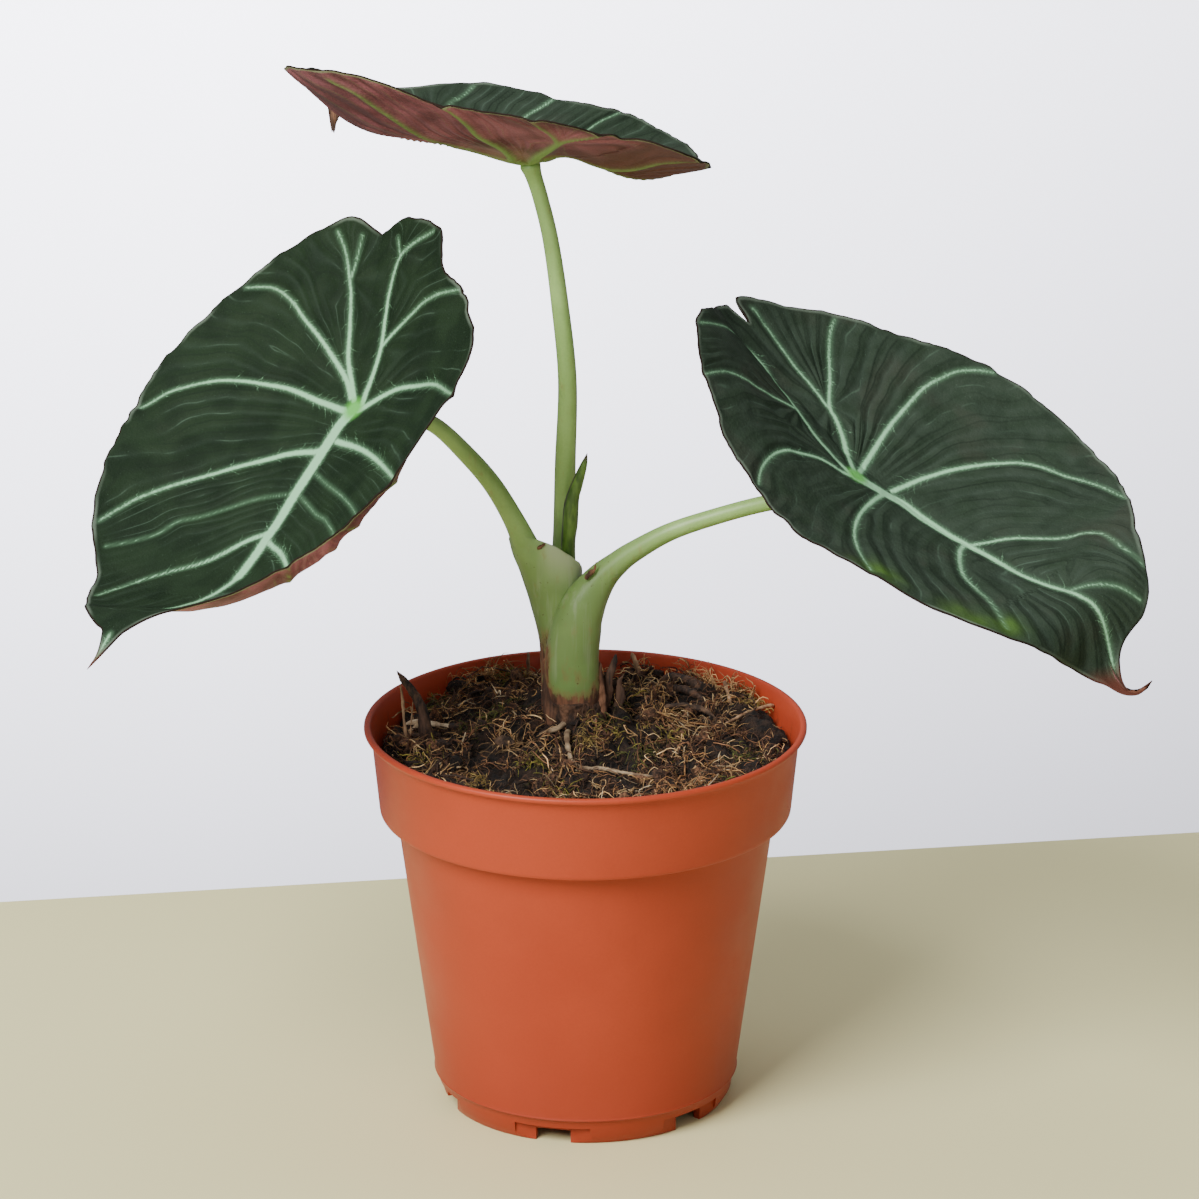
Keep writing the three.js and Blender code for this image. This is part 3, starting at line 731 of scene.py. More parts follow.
@dataclass(frozen=True)
class TerracottaPlasticFinish:
    """Satin terracotta-coloured plastic with faint turning marks, a dusting of soil inside, and painted shade
    towards the foot.
    """

    body: Colour = (0.4450, 0.0600, 0.0245)
    shade: Colour = (0.4000, 0.0510, 0.0205)
    # colour of the painted shade near the foot
    low: Colour = (0.2700, 0.0330, 0.0120)
    soil: Colour = (0.0500, 0.0250, 0.0150)
    foot_shade: tuple[float, float] = (0.045, 0.002)
    turning_depth: float = 0.0002
    grain_depth: float = 0.00006
    specular: float = 0.25

    def make(self, name: str, effects: "Effects") -> bpy.types.Material:
        """Builds the material.

        Args:
            name: its name.
            effects: the shared shader groups.

        Returns:
            The material.
        """
        s = Sheet(name)
        place = s.place()
        cloud = s.use(effects.mottle, Place=place, Cloud=22.0, Grain=1400.0, Light=self.body,
                      Dark=self.shade, Speck=0.03)
        split = s.node("ShaderNodeSeparateXYZ")
        s.feed(split.inputs[0], place)
        # painted shade: the colour is darkened towards the foot
        painted_foot_shade = s.band(split.outputs["Z"], *self.foot_shade)
        colour = s.coat(cloud.outputs["Colour"], painted_foot_shade, 0.6, self.low)
        dust = s.times(s.field("inside"), s.band(s.grain(place, 260.0, 5.0, 0.65), 0.5, 0.66))
        colour = s.coat(colour, dust, 0.75, self.soil)
        normal = s.bump(s.grain(place, 1.0, 2.0, 0.5, (12.0, 12.0, 900.0)), 0.05, self.turning_depth)
        normal = s.bump(s.grain(place, 2600.0, 2.0), 0.1, self.grain_depth, normal)
        rough = s.band(s.grain(place, 45.0, 4.0), 0.3, 0.75, 0.36, 0.48)
        return s.set(Base_Color=colour, Roughness=rough, Normal=normal, Specular_IOR_Level=self.specular,
                     Subsurface_Weight=0.05, Subsurface_Radius=(0.003, 0.001, 0.0005), Subsurface_Scale=1.0)


@dataclass(frozen=True)
class Effects:
    """The shared shader groups."""

    mottle: bpy.types.NodeTree
    veins: bpy.types.NodeTree


VEIN_STEP = 0.8
RUN_OFFSET = 5.3
FAR = 60.0
NO_VEIN = 99.0
MIDRIB_COUNTS_FROM = 70


@dataclass(frozen=True)
class Vein:
    """One main vein on the flat blade: its course, its width at both ends, and the half it lies on."""

    course: tuple[Point, ...]
    start_width: float
    end_width: float = 0.45
    half: int = 1

    def trace(self) -> tuple[Array, Array]:
        """Points spread evenly along the vein, and half its width at each."""
        points = smooth_course(self.course, VEIN_STEP)
        share = np.linspace(0, 1, len(points))
        return points, 0.5 * (self.start_width + (self.end_width - self.start_width) * share ** 0.75)


@dataclass(frozen=True)
class Push:
    """A soft local bend: where it is on the flat blade, its size, and how far it moves the blade."""

    a: float
    c: float
    size: float
    move: Point

    def share(self, a: Array, c: Array) -> Array:
        """How much of the push each flat point feels."""
        return np.exp(-((a - self.a) ** 2 + (c - self.c) ** 2) / (2 * self.size ** 2))


MARGIN_ANGLES = (0, 1.5, 3.5, 8, 16, 28, 42, 60, 80, 100, 120, 140, 155, 168, 180)
MIDRIB_STATIONS = (-60, 0, 45, 75, 92, 106, 120)
SPINE_START, SPINE_END = -70, 130
UNDER_EVERY = 2


@dataclass(frozen=True)
class Blade:
    """A shield-shaped leaf blade, given flat and bent by its midrib and its two halves."""

    node: str
    at: Point
    tip: Point
    face: Point
    left: Point
    right: Point
    bend: Point
    sweep: Point
    rise: tuple[Point, Point]
    curl: tuple[Point, Point]
    twist: float
    hub: Point
    veins: tuple[Vein, ...]
    tail_power: float
    tail_start: float
    ridge_strength: float
    yellow_spots: tuple[Point, ...] = ()
    pushes: tuple[Push, ...] = ()
    nicks: tuple[Point, ...] = ()
    # share of painted grey sheen on the upper side; it also scales the tan patches
    bloom: float = 0.3
    wave: float = 1.0
    seed: int = 1
    thickness: float = 0.5
    rim_bulge: float = 0.22
    ripple_circle: float = 40.0
    tail_blend: float = 7.0
    normal_reach: float = 0.9
    ridge_count: float = 5.5
    rays: int = 576
    rings: int = 86
    under_rings: int = 43

    def surface(self, a: Array, c: Array) -> Array:
        """Place of points of the flat blade on the bent one.

        Args:
            a: distance along the midrib from the stalk's joint, in millimetres.
            c: distance across, positive on the left half.

        Returns:
            One row of x, y, z for each point.
        """
        bend, sweep = monotone(MIDRIB_STATIONS, self.bend), monotone(MIDRIB_STATIONS, self.sweep)

        def axes(place: Array) -> tuple[Array, Array]:
            """Directions along the midrib and up from it."""
            p, s = bend(place), sweep(place)
            along = np.stack([np.cos(p) * np.cos(s), np.cos(p) * np.sin(s), -np.sin(p)], -1)
            return along, np.stack([np.sin(p) * np.cos(s), np.sin(p) * np.sin(s), np.cos(p)], -1)

        grid = np.arange(SPINE_START, SPINE_END + 1.0)
        along, _ = axes(grid)
        spine = np.vstack([np.zeros(3), np.cumsum((along[1:] + along[:-1]) / 2, axis=0)])
        spine -= spine[-SPINE_START]
        half = (c < 0).astype(int)
        t = a / 100
        rise, curl = np.array(self.rise), np.array(self.curl)
        lift = rise[half, 0] + rise[half, 1] * t
        turn = (curl[half, 0] + curl[half, 1] * t) / 50 * np.abs(c) / 2
        chord = np.abs(c) * np.sinc(turn / np.pi)
        across = np.sign(c) * chord * np.cos(lift + turn)
        height = chord * np.sin(lift + turn)
        cos, sin = np.cos(self.twist * t), np.sin(self.twist * t)
        y, h = across * cos - height * sin, across * sin + height * cos
        along, up = axes(a)
        side = np.cross(up, along)
        point = np.stack([np.interp(a, grid, spine[:, k]) for k in range(3)], -1)
        point += y[:, None] * side + h[:, None] * up
        tip = np.array(self.tip) / np.linalg.norm(self.tip)
        face = np.array(self.face) - np.dot(self.face, tip) * tip
        face /= np.linalg.norm(face)
        placed = point @ np.stack([tip, np.cross(face, tip), face]) + np.array(self.at)
        for push in self.pushes:
            placed = placed + push.share(a, c)[:, None] * np.array(push.move)
        return placed

    def normals(self, a: Array, c: Array) -> Array:
        """Upward unit normals of the bent blade."""
        e = self.normal_reach
        along = self.surface(a + e, c) - self.surface(a - e, c)
        n = np.cross(along, self.surface(a, c + e) - self.surface(a, c - e))
        return n / np.linalg.norm(n, axis=1)[:, None]

    def margin(self, angle: Array, half: Array) -> Array:
        """Distance from the joint to the margin, the drip tail drawn out thin.

        Args:
            angle: degrees from the tip's direction.
            half: 0 for the left half and 1 for the right.

        Returns:
            The distances.
        """
        left, right = monotone(MARGIN_ANGLES, self.left), monotone(MARGIN_ANGLES, self.right)
        radius = np.where(half == 0, left(angle), right(angle))
        first = MARGIN_ANGLES[1]
        end = np.where(half == 0, self.left[1], self.right[1])
        tail = self.left[0] - (self.left[0] - end) * (np.clip(angle, 0, first) / first) ** self.tail_power
        for where, width, depth in self.nicks:
            signed = np.where(half == 0, angle, -angle)
            radius = radius - depth * np.exp(-(((signed - where + 180) % 360 - 180) / width) ** 2)
        return np.where(angle < first, tail, radius)

    def rays_and_angles(self) -> tuple[Array, Array]:
        """Angle of each ray in degrees, closer together near the tail, and the half it lies on."""
        side = self.rays // 2
        knots = np.array((0, 0.07, 0.12, 0.17, 1)) * side
        angle = np.interp(np.arange(side + 1), knots, (0, 1.5, 4, 9, 180))
        return np.concatenate([angle, angle[-2:0:-1]]), np.repeat([0, 1], [side + 1, side - 1])

    def fields(self, a: Array, c: Array, edge: Array) -> dict[str, Array]:
        """What the finishes and the relief read at each point of the flat blade.

        Args:
            a: distance along the midrib.
            c: distance across.
            edge: distance to the margin.

        Returns:
            The fields by name.
        """
        gap = np.full(len(a), NO_VEIN)
        run, size = np.zeros(len(a)), np.zeros(len(a))
        nearest = np.full((2, len(a)), FAR)
        middle = np.interp(a, [-60, self.hub[0], 30, 120], [self.hub[1], self.hub[1], 0, 0])
        half = np.where(c >= middle, 1, -1)
        for number, vein in enumerate(self.veins):
            points, width = vein.trace()
            distance, foot = self.nearest(a, c, points)
            breadth = np.interp(foot, np.arange(len(points)), width)
            here = distance - breadth
            better = here < gap
            gap = np.where(better, here, gap)
            size = np.where(better, np.clip(breadth * 1.5, 0, 1), size)
            run = np.where(better, foot * VEIN_STEP + RUN_OFFSET * number, run)
            fits = (half == vein.half) | ((vein.half == 0) & (a > MIDRIB_COUNTS_FROM))
            reach = np.where(fits, distance, FAR)
            low, high = np.minimum(nearest[0], reach), np.maximum(nearest[0], reach)
            nearest = np.stack([low, np.minimum(nearest[1], high)])
        spread = nearest[0] / (nearest.sum(axis=0) + TINY)
        where = np.stack([a, c, np.full(len(a), self.seed * 40.0)], -1)
        ridge = self.ridge_count * spread + 0.34 * noise(where, 13, 5) + 0.07 * noise(where, 4, 6)
        depth = self.ridge_strength * ease(gap, 0.6, 3.2) * ease(edge, 0.4, 2.5)
        depth = depth * (0.6 + 0.6 * noise(where, 20, 7))
        hub_gap = np.hypot(a - self.hub[0], c - self.hub[1])
        yellow = np.zeros(len(a))
        for x, y, wide in self.yellow_spots:
            spot = np.exp(-((a - x) ** 2 + (c - y) ** 2) / (2 * wide ** 2))
            yellow = np.maximum(yellow, spot * (0.75 + 0.5 * noise(where, 3, 8)))
        return {
            "vein_gap": gap, "vein_run": run, "vein_size": size, "bloom": np.full(len(a), self.bloom),
            "ridge": ridge, "margin_gap": edge, "hub_gap": hub_gap,
            "ridge_depth": np.clip(depth, 0, 1) * ease(hub_gap, 5, 14), "yellow": np.clip(yellow, 0, 1),
            "tail": ease(a, self.tail_start, self.tail_start + self.tail_blend), "flat": where,
            # mask of the basal lobes, where the under side gets painted shade
            "lobe": ease(-a, -2, 12) * ease(-c, -4, 6),
        }

    @staticmethod
    def nearest(a: Array, c: Array, chain: Array) -> tuple[Array, Array]:
        """Distance from points to a chain, and where on it the nearest place is.

        Args:
            a: first coordinate of the points.
            c: second coordinate of the points.
            chain: the chain's corners.

        Returns:
            The distance, and the place counted in corners from the chain's start.
        """
        best = np.full(len(a), np.inf)
        foot = np.zeros(len(a))
        for i, (p, q) in enumerate(zip(chain[:-1], chain[1:])):
            d = q - p
            t = np.clip(((a - p[0]) * d[0] + (c - p[1]) * d[1]) / (d @ d + TINY), 0, 1)
            away = np.hypot(a - p[0] - t * d[0], c - p[1] - t * d[1])
            closer = away < best
            best = np.where(closer, away, best)
            foot = np.where(closer, i + t, foot)
        return best, foot

    def sheet(self, angle: Array, half: Array, rings: int) -> tuple[Array, Array, Array]:
        """Points of one side of the flat blade: the joint, then ring after ring.

        Args:
            angle: the rays' angles in degrees.
            half: the half that each ray lies on.
            rings: how many rings.

        Returns:
            Distance along, distance across and distance to the margin.
        """
        where = np.radians(angle)
        reach = self.margin(angle, half)
        sign = np.where(half == 0, 1, -1)
        round_about = np.stack([np.cos(where), sign * np.sin(where)], -1) * self.ripple_circle
        ripple = np.column_stack([round_about, np.full(len(where), self.seed * 9.0)])
        reach = reach + (0.45 * noise(ripple, 3.2, 3) + 0.25 * noise(ripple, 1.3, 4)) * ease(angle, 4, 14)
        share = np.arange(1, rings + 1) / rings
        a = (share[:, None] * (reach * np.cos(where))[None]).ravel()
        c = (share[:, None] * (reach * np.sin(where) * sign)[None]).ravel()
        rim = np.stack([reach * np.cos(where), reach * np.sin(where) * sign], -1)
        near, _ = self.nearest(a, c, np.vstack([rim[::4], rim[:1]]))
        return np.concatenate([[0], a]), np.concatenate([[0], c]), np.concatenate([[50], near])

    def relief(self, f: dict[str, Array]) -> Array:
        """Height of the blade's waves and quilting in millimetres."""
        ridges = np.cos(2 * np.pi * f["ridge"]) * -0.2 * f["ridge_depth"]
        swell = 0.55 * ease(f["vein_gap"], 0, 3.5)
        waves = 0.6 * noise(f["flat"], 17, 11) + 0.4 * noise(f["flat"], 7, 12, 2)
        flutter = 0.5 * noise(f["flat"], 6, 13) * ease(f["margin_gap"], 6, 0)
        lift = ridges + swell + waves * 0.8 * self.wave
        return lift * ease(f["hub_gap"], 1, 6) + flutter * self.wave - f["tail"] * 0.4

    def build(self, finishes: "Finishes") -> bpy.types.Object:
        """Builds the blade's two faces, joined by a rounded rim.

        Args:
            finishes: the materials.

        Returns:
            The blade.
        """
        angle, half = self.rays_and_angles()
        shell = Shell.empty()
        sides = []
        layers = ((1, self.rings, 1), (UNDER_EVERY, self.under_rings, -1))
        for look, (every, rings, sign) in enumerate(layers):
            a, c, edge = self.sheet(angle, half, rings)
            kept = np.arange(rings)[:, None] * self.rays + np.arange(0, self.rays, every)
            kept = np.concatenate([[0], 1 + kept.ravel()])
            a, c, edge = a[kept], c[kept], edge[kept]
            f = self.fields(a, c, edge)
            skin = 0.5 * self.thickness * (1 - 0.5 * f["tail"])
            if sign < 0:
                rib = np.exp(-(np.clip(f["vein_gap"] + 0.3, 0, None) / 0.8) ** 2)
                rib *= np.interp(f["hub_gap"], [0, 30, 90], [1.0, 0.7, 0.2])
                skin += rib * (0.9 + 1.3 * np.exp(-f["hub_gap"] / 8))
            points = self.surface(a, c) + self.normals(a, c) * (self.relief(f) + sign * skin)[:, None]
            count = self.rays // every
            faces = []
            for k in range(count):
                n = (k + 1) % count
                faces.append((0, 1 + k, 1 + n)[::sign])
                for i in range(1, 1 + (rings - 1) * count, count):
                    faces.append((i + k, i + k + count, i + n + count, i + n)[::sign])
            last = shell.count + 1 + (rings - 1) * count
            shell.add(points, faces, look, **f)
            sides.append((last, points[-count:], a[-count:], c[-count:]))
        self.close_rim(shell, sides)
        materials = [finishes.leaf_upper, finishes.leaf_under]
        return shell.piece(f"{self.node}_skin", Slot.BLADE, materials, [self.node])

    def close_rim(self, shell: Shell, sides: list[tuple[int, Array, Array, Array]]) -> None:
        """Joins the two faces by a rounded edge.

        Args:
            shell: the mesh being gathered.
            sides: first rim point's number, rim points and flat places, for the upper and the under face.
        """
        (top, upper, a, c), (bottom, under, _, _) = sides
        count = self.rays
        spread = np.arange(count) / UNDER_EVERY
        low = spread.astype(int)
        t = (spread - low)[:, None]
        lower = under[low % len(under)] * (1 - t) + under[(low + 1) % len(under)] * t
        middle = (upper + lower) / 2
        outward = np.cross(np.roll(middle, -1, axis=0) - np.roll(middle, 1, axis=0), upper - lower)
        outward /= np.linalg.norm(outward, axis=1)[:, None] + TINY
        start = shell.count
        faces = []
        for k in range(count):
            n = (k + 1) % count
            faces.append((top + k - start, k, n, top + n - start))
        for k in range(count // UNDER_EVERY):
            u, v = bottom + k - start, bottom + (k + 1) % (count // UNDER_EVERY) - start
            corners = [(UNDER_EVERY * k + j) % count for j in range(UNDER_EVERY + 1)]
            faces += [(u, q, p) for p, q in zip(corners[:-2], corners[1:-1])]
            faces.append((u, v, corners[-1], corners[-2]))
        shell.add(middle + outward * self.rim_bulge, faces, 0, **self.fields(a, c, np.zeros(count)))


CAP_RINGS = 3
CAP_SMALLEST = 0.15


@dataclass(frozen=True)
class Limb:
    """A round or oval limb along a smooth course: x, y, z, half width and half depth at each station."""

    name: str
    stations: tuple[Point, ...]
    slot: Slot
    replaced: tuple[str, ...] = ()
    sides: int = 36
    step: float = 0.9
    lumps: float = 0.0
    lump_size: float = 3.0
    seed: int = 0

    def tube(self) -> tuple[Array, list[Face], Array]:
        """Closed tube with rounded ends.

        Returns:
            Points, faces, and each point's share of the way along.
        """
        course = smooth_course([s if len(s) > 4 else (*s, s[3]) for s in self.stations], self.step)
        centre, wide, deep = course[:, :3], course[:, 3], course[:, 4]
        tangent = np.gradient(centre, axis=0)
        tangent /= np.linalg.norm(tangent, axis=1)[:, None]
        side = np.array([1.0, 0, 0]) if abs(tangent[0, 0]) < 0.9 else np.array([0, 1.0, 0])
        angle = np.linspace(0, 2 * np.pi, self.sides, endpoint=False)
        cap = np.sqrt(1 - np.linspace(1, 0, CAP_RINGS + 1)[:-1] ** 2)
        scale = np.concatenate([cap, np.ones(len(centre) - 2 * CAP_RINGS), cap[::-1]])
        scale = np.maximum(scale, CAP_SMALLEST)
        rows = []
        for i in range(len(centre)):
            side = side - side @ tangent[i] * tangent[i]
            side /= np.linalg.norm(side)
            other = np.cross(tangent[i], side)
            rows.append(centre[i] + scale[i] * (wide[i] * np.cos(angle)[:, None] * side
                                                + deep[i] * np.sin(angle)[:, None] * other))
        points = np.vstack(rows)
        if self.lumps:
            out = points - np.repeat(centre, self.sides, axis=0)
            out /= np.linalg.norm(out, axis=1)[:, None] + TINY
            points = points + out * (self.lumps * noise(points, self.lump_size, self.seed, 3))[:, None]
        faces = joined_rings(len(centre), self.sides)
        faces.append(tuple(range(self.sides))[::-1])
        faces.append(tuple((len(centre) - 1) * self.sides + k for k in range(self.sides)))
        return points, faces, np.repeat(np.linspace(0, 1, len(centre)), self.sides)

    def build(self, material: bpy.types.Material, **fields: Field) -> bpy.types.Object:
        """Builds the limb.

        Args:
            material: its finish.
            fields: functions from points and the share along to a field on the mesh.

        Returns:
            The limb.
        """
        points, faces, share = self.tube()
        shell = Shell.empty()
        shell.add(points, faces, 0, **{k: make(points, share) for k, make in fields.items()})
        return shell.piece(self.name, self.slot, [material], self.replaced)


@dataclass(frozen=True)
class Finishes:
    """Every material of the plant and its pot."""

    leaf_upper: bpy.types.Material
    leaf_under: bpy.types.Material
    stalk: bpy.types.Material
    young: bpy.types.Material
    husk: bpy.types.Material
    twig: bpy.types.Material
    splinter: bpy.types.Material
    husk_dark: bpy.types.Material
    rhizome: bpy.types.Material
    root: bpy.types.Material
    bark: bpy.types.Material
    soil: bpy.types.Material
    fibre: bpy.types.Material
    crumb: bpy.types.Material
    pot: bpy.types.Material

    @classmethod
    def make(cls) -> "Finishes":
        """Builds the shared effects and every material."""
        effects = Effects(mottle_effect(), vein_effect())
        along = (1.0, 1.0, 0.12)
        young = PlainFinish((0.0950, 0.1850, 0.0280), (0.0380, 0.0900, 0.0130), 0.45, 620.0, 1500.0, 0.12,
                            (1.0, 1.0, 0.3), 0.4, 0.0003, tone=(0.0300, 0.0180, 0.0080))
        husk = PlainFinish((0.2100, 0.0950, 0.0480), (0.0500, 0.0230, 0.0130), 0.8, 620.0, 1700.0, 0.35,
                           along, 0.9, 0.0006)
        twig = PlainFinish((0.4300, 0.2700, 0.1500), (0.1500, 0.0800, 0.0420), 0.8, 420.0, 1500.0, 0.35,
                           along, 0.6, 0.0003)
        splinter = PlainFinish((0.7200, 0.5800, 0.3900), (0.4200, 0.2900, 0.1700), 0.8, 420.0, 1500.0, 0.3,
                               along, 0.5, 0.0003)
        husk_dark = PlainFinish((0.1050, 0.0540, 0.0310), (0.0130, 0.0075, 0.0060), 0.75, 620.0, 1700.0, 0.4,
                                along, 0.9, 0.0006)
        rhizome = PlainFinish((0.1300, 0.0620, 0.0320), (0.0250, 0.0130, 0.0080), 0.9, 420.0, 1300.0, 0.35,
                              (1.0, 1.0, 0.5), 1.0, 0.0012)
        root = PlainFinish((0.4200, 0.3100, 0.1900), (0.1300, 0.0800, 0.0450), 0.8, 260.0, 1500.0, 0.25,
                           bump=0.6, depth=0.0003)
        bark = PlainFinish((0.1500, 0.0850, 0.0480), (0.0220, 0.0130, 0.0090), 0.9, 300.0, 1600.0, 0.35,
                           bump=0.9, depth=0.0006, tone=(0.5200, 0.3900, 0.2600))
        soil = PlainFinish((0.0340, 0.0180, 0.0105), (0.0036, 0.0025, 0.0020), 0.97, 420.0, 1500.0, 0.5,
                           bump=1.0, depth=0.0015)
        fibre = PlainFinish((0.95, 0.95, 0.95), (0.6, 0.57, 0.53), 0.85, 260.0, 1500.0, 0.25,
                            bump=0.4, depth=0.0002, tinted=True)
        crumb = PlainFinish((1.3, 1.25, 1.2), (0.25, 0.23, 0.22), 0.95, 900.0, 2600.0, 0.5,
                            bump=1.0, depth=0.0016, tinted=True)
        return cls(
            leaf_upper=LeafUpperFinish().make("leaf_upper", effects),
            leaf_under=LeafUnderFinish().make("leaf_under", effects),
            stalk=StalkFinish().make("stalk_skin", effects), young=young.make("young_leaf_skin", effects),
            husk=husk.make("husk_paper", effects), twig=twig.make("twig_skin", effects),
            splinter=splinter.make("bare_wood", effects),
            husk_dark=husk_dark.make("husk_dark_paper", effects),
            rhizome=rhizome.make("rhizome_bark", effects), root=root.make("root_skin", effects),
            bark=bark.make("bark_litter", effects), soil=soil.make("peat_soil", effects),
            fibre=fibre.make("peat_fibre", effects), crumb=crumb.make("peat_crumb", effects),
            pot=TerracottaPlasticFinish().make("terracotta_plastic", effects),
        )

    def of(self, skin: Skin) -> bpy.types.Material:
        """The material of a loose piece's skin."""
        return {Skin.TWIG: self.twig, Skin.SPLINTER: self.splinter, Skin.HUSK: self.husk,
                Skin.HUSK_DARK: self.husk_dark}[skin]


@dataclass(frozen=True)
class NurseryPot:
    """Turned plastic pot with a flat lip, a collar, a foot band, foot notches and drain holes."""

    segments: int = 240
    notches: int = 6
    notch_start: float = -103.3
    notch_gap: float = 9.6
    notch_height: float = 3.6
    recess_width: float = 21.0
    recess_depth: float = 0.8
    recess_above: float = 1.4
    recess_cutter: float = 5.1
    base_radius: float = 38.9
    bottom: float = 6.2
    drain_radius: float = 4.0
    drain_circle: float = 25.0
    drain_sides: int = 28
    drain_reach: tuple[float, float] = (2.5, 8.5)
    grown: Point = (1.004, 1.004, 1.005)

    def profile(self) -> list[Point]:
        """Radius and height round the wall's section, outside going up and inside going down."""
        return [
            (9.0, 0), (9.3, 0.4), (10.2, 4.8), (36.4, 4.8), (36.5, 4.2), (36.25, 0.3), (36.5, 0), (38.1, 0),
            (38.6, 0.15), (38.9, 0.6), (40.1, 2.6), (40.55, 5.5), (40.8, 7.0), (41.1, 7.3), (41.55, 7.5),
            (41.7, 7.75), (41.6, 8.05), (41.45, 8.4), (45.0, 34.6), (48.2, 58.4), (51.3, 81.4), (51.45, 82.2),
            (51.9, 82.7), (55.0, 82.75), (55.6, 82.9), (55.85, 83.3), (55.95, 84.0), (56.9, 93.6),
            (57.9, 103.6), (58.1, 104.9), (58.35, 105.35), (59.2, 105.5), (59.75, 105.7), (59.95, 106.05),
            (59.95, 106.5), (59.75, 106.85), (59.35, 107.05), (59.0, 107.1), (58.55, 107.05), (58.2, 106.8),
            (58.0, 106.3), (57.1, 104.6), (55.9, 95.6), (54.9, 84.9), (54.6, 84.25), (54.1, 84.1),
            (51.0, 84.1), (50.5, 83.8), (50.2, 82.0), (46.9, 58.0), (43.7, 34.5), (40.3, 9.2), (39.8, 7.4),
            (38.3, 6.2), (12.0, 6.2),
        ]

    def build(self, finishes: Finishes) -> bpy.types.Object:
        """Turns the wall, cuts the notches and the drain holes.

        Args:
            finishes: the materials.

        Returns:
            The pot.
        """
        section = self.profile()
        angle = np.linspace(0, 2 * np.pi, self.segments, endpoint=False)
        points = np.vstack([rings_of(section, angle), [[0, 0, 0], [0, 0, self.bottom]]])
        count, last = self.segments, len(section) - 1
        faces = joined_rings(len(section), count)
        for k in range(count):
            n = (k + 1) % count
            faces.append(((last + 1) * count, n, k))
            faces.append((last * count + k, last * count + n, (last + 1) * count + 1))
        turned = self.solid("pot_wall", points, faces)
        recess_reach = self.base_radius - self.recess_depth + self.recess_cutter / 2
        for i in range(self.notches):
            around = math.radians(self.notch_start + 360 / self.notches * i)
            self.cut(turned, self.box(around, self.base_radius - 1, 8, self.notch_gap, self.notch_height))
            self.cut(turned, self.box(around, recess_reach, self.recess_cutter, self.recess_width,
                                      self.notch_height + self.recess_above))
            self.cut(turned, self.drain(around + math.pi / self.notches))
        mesh = turned.data
        bpy.data.objects.remove(turned)
        cut_points = np.array([v.co for v in mesh.vertices]) / MM * np.array(self.grown)
        radius = np.hypot(cut_points[:, 0], cut_points[:, 1])
        wall = np.interp(cut_points[:, 2], [8, 82.7, 83, 107], [41.4, 51.5, 55.9, 58.0])
        inside = ((radius < wall - 0.6) & (cut_points[:, 2] > 6)).astype(float)
        shell = Shell.empty()
        shell.add(cut_points, [tuple(p.vertices) for p in mesh.polygons], 0, inside=inside)
        return shell.piece("nursery_pot", Slot.POT, [finishes.pot], ["pot"], sharp=38)

    @staticmethod
    def solid(name: str, points: Array, faces: Iterable[Sequence[int]]) -> bpy.types.Object:
        """Working solid in metres that takes part in a cut."""
        mesh = bpy.data.meshes.new(name)
        mesh.from_pydata((points * MM).tolist(), [], list(faces))
        made = bpy.data.objects.new(name, mesh)
        bpy.context.scene.collection.objects.link(made)
        return made

    def box(self, around: float, reach: float, deep: float, wide: float, high: float) -> bpy.types.Object:
        """Box across the foot band at an angle round the pot, from below the foot up to a height.

        Args:
            around: the angle in radians.
            reach: distance from the axis to the box's middle.
            deep: size along the radius.
            wide: size across it.
            high: where its top lies.

        Returns:
            The box.
        """
        corners = []
        for x in (reach - deep / 2, reach + deep / 2):
            for y in (-wide / 2, wide / 2):
                for z in (-1, high):
                    corners.append((x * math.cos(around) - y * math.sin(around),
                                    x * math.sin(around) + y * math.cos(around), z))
        faces = [(0, 1, 3, 2), (4, 6, 7, 5), (0, 4, 5, 1), (2, 3, 7, 6), (0, 2, 6, 4), (1, 5, 7, 3)]
        return self.solid("notch_cutter", np.array(corners), faces)

    def drain(self, around: float) -> bpy.types.Object:
        """Upright round cutter for a drain hole, at an angle in radians."""
        sides = self.drain_sides
        rings = rings_of([(self.drain_radius, z) for z in self.drain_reach],
                         np.linspace(0, 2 * np.pi, sides, endpoint=False))
        centre = self.drain_circle * np.array([math.cos(around), math.sin(around), 0])
        faces = [*joined_rings(2, sides), tuple(range(sides))[::-1], tuple(range(sides, 2 * sides))]
        return self.solid("drain_cutter", rings + centre, faces)

    @staticmethod
    def cut(target: bpy.types.Object, cutter: bpy.types.Object) -> None:
        """Takes the cutter's space out of the target."""
        change = target.modifiers.new("cut", "BOOLEAN")
        change.operation = "DIFFERENCE"
        change.solver = "EXACT"
        change.object = cutter
        bpy.context.view_layer.update()
        done = bpy.data.meshes.new_from_object(target.evaluated_get(bpy.context.evaluated_depsgraph_get()))
        target.modifiers.clear()
        target.data = done
        bpy.data.objects.remove(cutter)


BROWNS = ((0.100, 0.043, 0.022), (0.180, 0.080, 0.038), (0.330, 0.160, 0.076), (0.045, 0.022, 0.013))
GOLDS = ((0.720, 0.430, 0.170), (1.000, 0.700, 0.360), (0.460, 0.230, 0.090), (0.840, 0.520, 0.240))
MOSSES = ((0.250, 0.230, 0.035), (0.420, 0.350, 0.070), (0.130, 0.140, 0.025), (0.480, 0.340, 0.100))
STRAWS = ((0.860, 0.700, 0.460), (0.700, 0.520, 0.310))
CRUMB_TINTS = ((0.040, 0.021, 0.013), (0.090, 0.045, 0.026), (0.018, 0.010, 0.008), (0.210, 0.105, 0.055))


